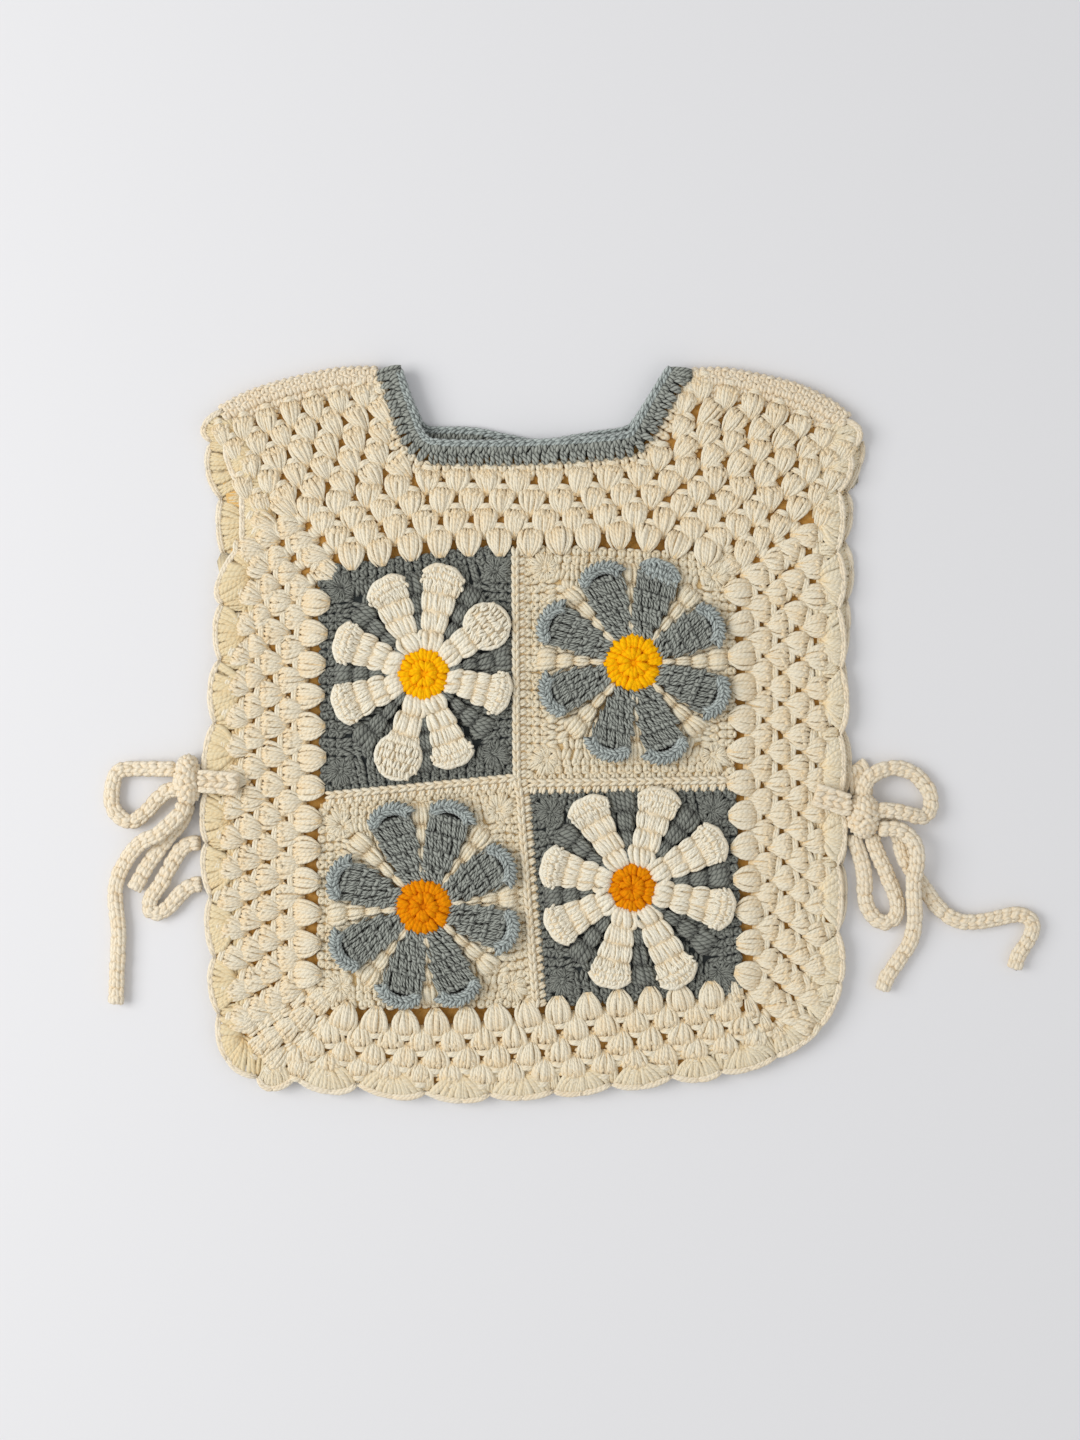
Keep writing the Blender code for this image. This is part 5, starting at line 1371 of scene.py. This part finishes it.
LIP_STEP = 0.0023
LIP_LEGS = (        # where a row of legs begins and how far it reaches, its slant, and its rise along it
    (0.0032, -0.0036, 0.85, (0.0004, 0.0017, 0.0019)),
    (0.0003, -0.0034, -0.85, (0.0019, 0.0017, 0.0004)),
)


def lip(yarn, line):
    """A raised rim along a line in plan: a thick core under two rows of legs that slant opposite ways."""
    level = PETAL_FLOOR + 0.0030
    for stretch in halves(0.52):
        yarn.core(line.at(stretch), level, 0.0025, 0.0019)
    count = int(line.length / LIP_STEP)
    for k in range(count):
        for offset, reach, slant, rise in LIP_LEGS:
            share = (k + 0.5 + rng.uniform(-0.15, 0.15)) / count
            a = line.at(np.clip(share - slant / count, 0, 1), offset)
            b = line.at(np.clip(share + slant / count, 0, 1), offset + reach)
            yarn.over(straight(a, b), level + np.interp(T_SHORT, (0, 0.5, 1), rise), 0.00096,
                      deep=0.55 + 0.45 * SWELL)


def small_stitch(yarn, start, end, half, floor, rise):
    """One of the small uneven stitches that cover the cream petals' ends."""
    bundle(yarn, start, end, half, BARREL, 2, floor, rise, core=False, jitter=0.3, plump=1.05, loose=0.6,
           round_off=0.6)


FLAP_INNER = 0.76           # a flap's inner edge, as a share of the petal
FLAP_BOW = 0.06
FLAP_COLUMNS = 9
FLAP_ROWS = (               # where a row of stitches begins and ends, and its level at both ends
    (0.00, 0.40, -0.0004, 0.0), (0.32, 0.72, 0.0002, 0.0002), (0.64, 1.02, 0.0, -0.0010),
)


def flap(yarn, root, tip):
    """The end of a petal folded over: a thick band across the tip under three rows of small stitches."""
    ahead = tip - root
    side = turned(unit(ahead))
    lean = rng.uniform(-0.05, 0.05)
    level = PETAL_FLOOR + 0.0024

    def on_flap(across, depth):
        """across from -1 to 1, depth from 0 at the inner edge to 1 at the outer one."""
        squeeze = 1 - max(0.0, abs(across) - 0.45)
        share = FLAP_INNER + (1.0 - FLAP_INNER) * (0.5 + (depth - 0.5) * squeeze)
        share += lean * across * 0.5 - FLAP_BOW * across**2
        return root + ahead * share + side * across * PETAL_HALF

    spine = np.stack([on_flap(a, 0.5) for a in np.linspace(-0.92, 0.92, LONG)])
    girth = np.array((0.6, 0.9, 1, 1, 1, 0.9, 0.6))
    yarn.core(spine, level - 0.0002, np.linalg.norm(ahead) * (1 - FLAP_INNER) * 0.53 * girth, 0.0019 * girth)
    for first, last, first_lift, last_lift in FLAP_ROWS:
        for k in range(FLAP_COLUMNS):
            across = (2 * k + 1 + rng.uniform(-0.3, 0.3)) / FLAP_COLUMNS - 1
            end = np.clip(across + rng.uniform(-0.10, 0.14), -0.96, 0.96)
            a, b = on_flap(across * 0.96, first), on_flap(end * 0.96, last + rng.uniform(-0.08, -0.02))
            sunk = level - 0.0008 * across**2
            small_stitch(yarn, a, b, 0.00140, (sunk + first_lift, sunk + last_lift), 0.0017)
    for begin, finish in ((-1.0, 0.10), (-0.10, 1.0)):
        rim = np.stack([on_flap(a, 0.97) for a in begin + (finish - begin) * T_LONG])
        yarn.over(rim, level - 0.0002, 0.0015, 0.0013, deep=0.9)


DISC_RADIUS = 0.0110
DISC_LEVEL = 0.0092
DISC_RISE = 0.0030
DOME = np.sqrt(np.clip(1 - (2 * T_LONG - 1) ** 2, 0.02, 1))     # a strand with these widths is a round disc


def disc(yarn, centre, ray):
    """A round end: a low dome covered in rows of small stitches, with a smooth rim."""
    side = turned(ray)
    spine = centre + side * DISC_RADIUS * 0.94 * (2 * T_LONG[:, None] - 1)
    yarn.core(spine, DISC_LEVEL + DISC_RISE * 0.3, DISC_RADIUS * 0.96 * DOME, DISC_RISE * 0.6 * DOME)
    for depth in (-0.70, -0.36, 0.0, 0.36, 0.68):
        chord = math.sqrt(1 - depth**2) * 0.90
        columns = int(round(2 * chord * DISC_RADIUS / 0.0029))
        for k in range(columns):
            across = ((2 * k + 1 + rng.uniform(-0.4, 0.4)) / columns - 1) * chord
            end = across + rng.uniform(-0.10, 0.14)
            a = centre + (side * across + ray * (depth - 0.20)) * DISC_RADIUS
            b = centre + (side * end + ray * (depth + 0.20)) * DISC_RADIUS
            top = DISC_LEVEL + DISC_RISE * math.sqrt(max(0.05, 1.05 - across**2 - depth**2))
            small_stitch(yarn, a, b, 0.00138, top - 0.0008, 0.0013)
    for begin in (-155, -55, 45):
        turns = np.radians(begin + 112 * T_LONG)[:, None]
        rim = centre + (ray * np.cos(turns) + side * np.sin(turns)) * DISC_RADIUS * 0.97
        yarn.over(rim, DISC_LEVEL + DISC_RISE * 0.35, 0.0012, deep=0.95)


LIP_WIDE, LIP_DEEP = PETAL_HALF * 0.96, PETAL_HALF * 0.72      # half axes of the line that a lip follows


def petal(yarn, lip_yarn, middle, radius, tip, ending):
    ray = unit(tip - middle)
    root = middle + ray * radius * 0.86
    if yarn is not lip_yarn:
        petal_core(yarn, root, tip, SLATE_PROFILE)
        slate_rows(yarn, root, tip)
    else:
        petal_core(yarn, root, tip, CREAM_PROFILE)
        cream_rows(yarn, root, tip, CREAM_ROWS[:3] if ending == "disc" else CREAM_ROWS)
    if ending == "lip":
        centre = tip - ray * (LIP_DEEP + 0.0022)
        turns = np.radians(np.linspace(-80, 80, 11))[:, None]
        path = centre + ray * LIP_DEEP * np.cos(turns) + turned(ray) * LIP_WIDE * np.sin(turns)
        lip(lip_yarn, Line(path, 80))
    elif ending == "flap":
        flap(lip_yarn, root, tip)
    else:
        disc(lip_yarn, tip - ray * 0.0108, ray)


for name, square in SQUARES.items():
    petals = Yarn(CORE_PAINTED_SHADING[square["petals"]])
    lips = Yarn(0.35) if square["petals"] == "slate" else petals
    middle = seen(*square["centre"])
    for tip, ending in zip(square["tips"], square["ends"]):
        petal(petals, lips, middle, square["radius"], seen(*tip), ending)
    add_yarn("petals_" + name, petals, PETALS[square["petals"]], "daisy_" + name)
    if lips is not petals:
        add_yarn("lips_" + name, lips, SLATE_PAINTED_HIGHLIGHT)

# %% [markdown]
# ## Hearts
#
# A daisy's heart is a small disc in two rounds: a tight ring of short stitches around a tiny hole, and
# eight groups of longer ones that spread to the petals. The groups are bundles again, laid over a low dome.

# %% Hearts of the daisies
HEART_FLOOR = 0.0078
HEART_GROUP = np.array((0.40, 0.62, 0.80, 0.93, 1.0, 1.0, 0.80))      # widths along a strand of a group
INNER_GROUPS = 8
for name, square in SQUARES.items():
    yarn = Yarn(0.6)
    middle = seen(*square["centre"])
    radius = square["radius"]
    for size, level, height in ((0.92, 0.0006, 0.0018), (0.50, 0.0020, 0.0018)):
        spine = middle + np.array((1.0, 0.0)) * radius * size * (2 * T_LONG[:, None] - 1)
        yarn.core(spine, HEART_FLOOR + level, radius * size * DOME, height * DOME, deep=0.5)
    headings = [math.atan2(*(seen(*tip) - middle)[::-1]) for tip in square["tips"]]
    for heading in headings:
        ray = np.array((math.cos(heading), math.sin(heading)))
        end = middle + ray * radius * rng.uniform(1.02, 1.10)
        bundle(yarn, middle + ray * radius * 0.40, end, radius * 0.40, HEART_GROUP, 4,
               (HEART_FLOOR + 0.0008, HEART_FLOOR), 0.0027, jitter=0.15, loose=0.4, plump=1.2, round_off=0.7)
    for k in range(INNER_GROUPS):
        angle = headings[0] + 2 * math.pi * (k + 0.5) / INNER_GROUPS
        ray = np.array((math.cos(angle), math.sin(angle)))
        bundle(yarn, middle + ray * radius * 0.08, middle + ray * radius * 0.56, radius * 0.20,
               FAN * 0.7 + 0.3, 2, (HEART_FLOOR + 0.0022, HEART_FLOOR + 0.0016), 0.0022, core=False,
               jitter=0.3, loose=0.4, plump=1.2)
        arc(yarn, middle + ray * radius * 0.80, middle + ray * radius * 1.10, turned(ray) * 0.0002, 0.0010,
            HEART_FLOOR + 0.0010)
    add_yarn("rays_" + name, yarn, HEARTS[square["heart"]], "heart_" + name)

# %% [markdown]
# ## Joining ridges
#
# The squares are joined by cream ridges: a light chain that stands up, and beside it a row of short
# stitches that lean over, with a pinhole between each two.

# %% Ridges
UPRIGHT = Line([plan(*p) for p in (
    (-0.0066, 0.0897), (-0.0063, 0.0350), (-0.0059, -0.0180), (-0.0045, -0.0285), (-0.0037, -0.0390),
    (-0.0009, -0.0750), (0.0034, -0.1308),
)])
LEFT_JOIN = Line([plan(-0.0993, -0.0314), plan(-0.0083, -0.0228)])
RIGHT_JOIN = Line([plan(-0.0024, -0.0255), plan(0.0967, -0.0239)])


def ridge(name, line, chain_side, node):
    yarn = Yarn()
    chain(yarn, line, 0.00098, 0.0080, chain_side * 0.0017)
    count = int(line.length / 0.0042)
    for k in range(count):
        share = (k + 0.5) / count
        a = line.at(share, -chain_side * 0.0034)
        b = line.at(min(1.0, share + 0.3 / count), chain_side * 0.0004)
        bundle(yarn, a, b, 0.00150, BARREL, 2, 0.0066, 0.0014, core=False)
    for begin, finish in ((0.0, 0.35), (0.33, 0.68), (0.66, 1.0)):
        bed = line.at(begin + (finish - begin) * T_LONG, -chain_side * 0.0008)
        yarn.core(bed, 0.0064, 0.0034, 0.0010, deep=0.35)
    add_yarn(name, yarn, CREAM, node)


ridge("join_upright", UPRIGHT, -1, "ridge_upright")
ridge("join_left", LEFT_JOIN, 1, "ridge_left")
ridge("join_right", RIGHT_JOIN, 1, "ridge_right")

# %% [markdown]
# ## Neckband
#
# The slate neckband is one row of long posts with a chain along its free edge. Each post leans, and its
# foot goes into the cream in a point. On the shoulders the band folds over to the back.

# %% Neckbands
POST_STEP = 0.0044
POST_FOOT = np.array((0.35, 0.66, 0.90, 1, 1, 1, 0.95))      # widths along a strand from a post's foot
BAND_HALF = 0.0054


def along_line(line, share, step):
    """The direction of a line at a share of it."""
    return unit(line.at(min(1.0, share + step)) - line.at(max(0.0, share - step)))


def neckband(name, line, node, floor, rise):
    yarn = Yarn(coarse=node == "back_neckband")
    count = int(line.length / POST_STEP)
    for k in range(count):
        share = (k + 0.5) / count
        lean = 0.34 / count
        foot = line.at(max(0.0, share - lean), -BAND_HALF - 0.0008)
        waist = line.at(share, -0.0002)
        head = line.at(min(1.0, share + lean), BAND_HALF - 0.0016)
        bundle(yarn, foot, waist, 0.00195, POST_FOOT, 2, floor, rise, core=False, jitter=0.2, arch=SHALLOW,
               plump=1.12, slant=0.7, loose=0.3)
        bundle(yarn, waist - (waist - foot) * 0.18, head, 0.00205, BARREL, 2, floor, rise * 0.95, core=False,
               jitter=0.2, arch=SHALLOW, plump=1.08, slant=-0.7, loose=0.3)
    links = Yarn()
    chain(links, line, 0.00100, floor + rise * 0.66, BAND_HALF - 0.0011)
    add_yarn(name + "_chain", links, SLATE_PAINTED_HIGHLIGHT)
    # A flat bed under the posts, painted all in the shade colour, so the gaps between them read dark.
    places = line.at(np.linspace(0.035, 0.965, 40))
    for a, b in zip(places[:-1:3], places[3::3]):
        inward = turned(unit(b - a)) * BAND_HALF * 0.18
        bed = a + inward + (b - a) * (1.1 * T_LONG[:, None] - 0.05)
        yarn.over(bed, floor + 0.0004, BAND_HALF * 0.74, rise * 0.35, deep=0.0)
    add_yarn(name, yarn, SLATE, node)


neckband("band_front", FRONT_NECK, "front_neckband", 0.0062, 0.0028)
neckband("band_back", BACK_NECK, "back_neckband", 0.0008, 0.0022)

yarn = Yarn()
foot_row = Line([FRONT_NECK.at(share, -BAND_HALF - 0.0018) for share in np.linspace(0.01, 0.99, 40)])
count = int(foot_row.length / POST_STEP)
for offset, level in ((0.0, 0.0058), (-0.0030, 0.0055)):
    for k in range(count):
        share = k / (count - 1)
        along = along_line(foot_row, share, 0.002)
        short_stitch(yarn, foot_row.at(share, offset), along, turned(along), level, bar=offset == 0.0)
add_yarn("band_foot", yarn, CREAM)

TURNS = {"left": [(402, 368), (377, 373)], "right": [(667, 368), (692, 373)]}
TURN_STITCHES = 6
for side, fold in TURNS.items():
    yarn = Yarn()
    line = seen_line(fold, 20)
    for aside, level in ((-0.0004, 0.0062), (-0.0030, 0.0060)):      # the last two posts lie along the fold
        shift = np.array((0.0, aside))
        bundle(yarn, line.at(0.98) + shift, line.at(0.02) + shift, 0.0017, BARREL, 2, level, 0.0026,
               arch=SHALLOW, jitter=0.2, slant=0.5, plump=1.15, loose=0.3)
    for k in range(TURN_STITCHES):
        outward = 0.0030 * np.sin(math.pi * T_LONG) - 0.0035
        place = line.at((k + 0.5) / TURN_STITCHES) + np.outer(outward, (0.0, 1.0))
        place[:, 0] += rng.uniform(0.0006, 0.0014) * np.cos(math.pi * T_LONG)
        yarn.over(place, 0.0012 + 0.0056 * T_LONG, 0.00115, up=np.array((0.0, 1.0, 0.0)))
    add_yarn("band_turn_" + side, yarn, SLATE, "neckband_fold_" + side)

# %% [markdown]
# ## Shoulder seams
#
# At the shoulders the front turns over to the back in rows of short stitches that roll over the fold.

# %% Seams
SEAM_END = 0.90             # the rows end where the edging's last shell begins
SEAM_ROWS = ((0.0012, 0.0054), (0.0046, 0.0060), (0.0080, 0.0050), (0.0112, 0.0040))     # offset and level


def seam(name, line, towards_front, node):
    """Rows of short stitches over the shoulder, the last one rolled down to the back."""
    yarn = Yarn()
    count = int(line.length / 0.0041)
    for offset, level in SEAM_ROWS:
        for k in range(count):
            share = SEAM_END * (k + 0.5 + 0.4 * (offset > 0.003)) / (count + 0.5)
            along = along_line(line, share, 0.01)
            out = -turned(along) * towards_front
            short_stitch(yarn, line.at(share, towards_front * offset), along, out, level)
    count = int(line.length / 0.0040)
    for k in range(count):
        share = SEAM_END * (k + 0.5) / count
        normal = (line.at(share, 1.0) - line.at(share)) * -towards_front
        outer = line.at(share, -towards_front * 0.0002)
        place = outer + np.outer(0.0014 * np.sin(math.pi * T_LONG), normal)
        yarn.over(place, 0.0012 + 0.0048 * T_LONG, 0.0018, 0.0013, up=np.append(normal, 0.0))
    for begin, finish in ((0.0, 0.50), (0.42, SEAM_END)):
        bed = line.at(begin + (finish - begin) * T_LONG, towards_front * 0.0044)
        yarn.core(bed, 0.0054, 0.0046, 0.0012, deep=0.6)
    add_yarn(name, yarn, CREAM_TIES, node)


seam("seam_left", LEFT_TOP, 1, "shoulder_seam_left")
seam("seam_right", RIGHT_TOP, -1, "shoulder_seam_right")

# %% [markdown]
# ## Tabs and knots
#
# The ties are sewn on as short tabs and meet in a bow. The knot is the cord wrapped around itself, so its
# core is a rounded lump, and the stitches of the cord lie all over it.

# %% Tabs and knots
TABS = {
    "tab_left_front": [(-0.1405, -0.0243, 0.0101), (-0.1500, -0.0234, 0.0101), (-0.1565, -0.0229, 0.0101),
                       (-0.1598, -0.0228, 0.0101)],
    "tab_right_front": [(0.1350, -0.0290, 0.0101), (0.1430, -0.0315, 0.0101), (0.1490, -0.0337, 0.0101),
                        (0.1521, -0.0338, 0.0101)],
    "tab_right_back": [(0.1552, -0.0150, 0.0016), (0.1575, -0.0185, 0.0016), (0.1585, -0.0260, 0.0016),
                       (0.1585, -0.0300, 0.0016)],
}
for name, points in TABS.items():
    route = routed(points, 0.003)
    strap = tube_mesh(name, route, 0.0045, 0.0013)
    add_piece(name.replace("tab_", "strap_"), strap, CREAM_TIES, name)
    yarn = Yarn()
    rows_on_cord(yarn, route, 0.0046, 0.0013)
    edge = Line(route[:, :2], 60)
    for side in (-1, 1):
        for stretch in halves(0.52):
            yarn.over(edge.at(stretch, side * 0.0045), route[0][2] + 0.0009, 0.0011, deep=0.95)
    add_yarn(name.replace("tab_", "strap_braid_"), yarn, CREAM_TIES)

KNOTS = {                   # centre and size
    "left": ((-0.1655, -0.0225, 0.0060), (0.0106, 0.0210, 0.0120)),
    "right": ((0.1590, -0.0395, 0.0060), (0.0130, 0.0180, 0.0120)),
}
KNOT_STITCHES = 64
GOLDEN_TURN = math.pi * (3 - math.sqrt(5))      # from each stitch to the next, which spreads them evenly


def lump_mesh(name, centre, size):
    """A rounded lump: a cube that is subdivided and pulled towards an ellipsoid."""
    bm = bmesh.new()
    bmesh.ops.create_cube(bm, size=1.0)
    bmesh.ops.subdivide_edges(bm, edges=bm.edges[:], cuts=5, use_grid_fill=True)
    for v in bm.verts:
        sphere = v.co.normalized() * 0.52
        v.co = v.co.lerp(sphere, 0.7)
    bmesh.ops.scale(bm, verts=bm.verts, vec=size)
    bmesh.ops.translate(bm, verts=bm.verts, vec=centre)
    return smooth_core(bm, name)


for side, (centre, size) in KNOTS.items():
    centre, size = np.array(centre) - np.append(MIDDLE, 0.0), np.array(size)
    core = lump_mesh("knot_core_" + side, centre, size * np.array((1.0, 1.0, 0.9)))
    add_piece("knot_core_" + side, core, CREAM_TIES, "knot_" + side)
    yarn = Yarn()
    for k in range(KNOT_STITCHES):
        turn = k * GOLDEN_TURN
        up = 1 - 1.25 * (k + 0.5) / KNOT_STITCHES
        girth = math.sqrt(1 - up * up)
        place = np.array((math.cos(turn) * girth, math.sin(turn) * girth, up))
        heading = rng.uniform(0, 2 * math.pi)
        tangent = unit(np.cross(place, (math.cos(heading), math.sin(heading), 0.3)))
        rows = unit(place + tangent * 0.56 * (T_SHORT[:, None] - 0.5)) * (1 + 0.06 * SWELL)[:, None]
        yarn.lay(centre + rows * size * 0.51, 0.00178, up=place, deep=0.5 + 0.5 * SWELL)
    add_yarn("knot_wraps_" + side, yarn, CREAM_TIES)

# %% [markdown]
# ## Table and light
#
# The vest lies on a white table under a large soft light from the upper left, as from a window. A wide area
# light and a pale world give the same soft shadows.

# %% Table
def plain_material(name, colour, roughness):
    material = bpy.data.materials.new(name)
    material.use_nodes = True
    shader = material.node_tree.nodes["Principled BSDF"]
    shader.inputs["Base Color"].default_value = colour
    shader.inputs["Roughness"].default_value = roughness
    return material


bm = bmesh.new()
bmesh.ops.create_grid(bm, x_segments=1, y_segments=1, size=2.0)
table_mesh = finished(bm, "table_top")
table = bpy.data.objects.new("table_top", table_mesh)
table_mesh.materials.append(plain_material("white_table", srgb(231, 233, 239), 0.7))
bpy.context.scene.collection.objects.link(table)


def area_light(name, place, size, power, colour):
    light = bpy.data.lights.new(name, "AREA")
    light.size = size
    light.energy = power
    light.color = colour
    lamp = bpy.data.objects.new(name, light)
    lamp.location = place
    aim = -np.array(place)
    lamp.rotation_euler = (math.atan2(math.hypot(aim[0], aim[1]), -aim[2]), 0.0,
                           math.atan2(aim[1], aim[0]) - math.pi / 2)
    bpy.context.scene.collection.objects.link(lamp)


area_light("window", (-1.5, 0.10, 1.2), 1.2, 24.0, (1.0, 0.975, 0.93))
area_light("fill", (1.2, -0.6, 1.4), 1.6, 3.0, (1.0, 0.98, 0.96))
world = bpy.data.worlds.new("room")
world.use_nodes = True
world.node_tree.nodes["Background"].inputs["Color"].default_value = (1.0, 0.985, 0.955, 1.0)
world.node_tree.nodes["Background"].inputs["Strength"].default_value = 0.55
bpy.context.scene.world = world
bpy.context.scene.view_settings.view_transform = "Standard"
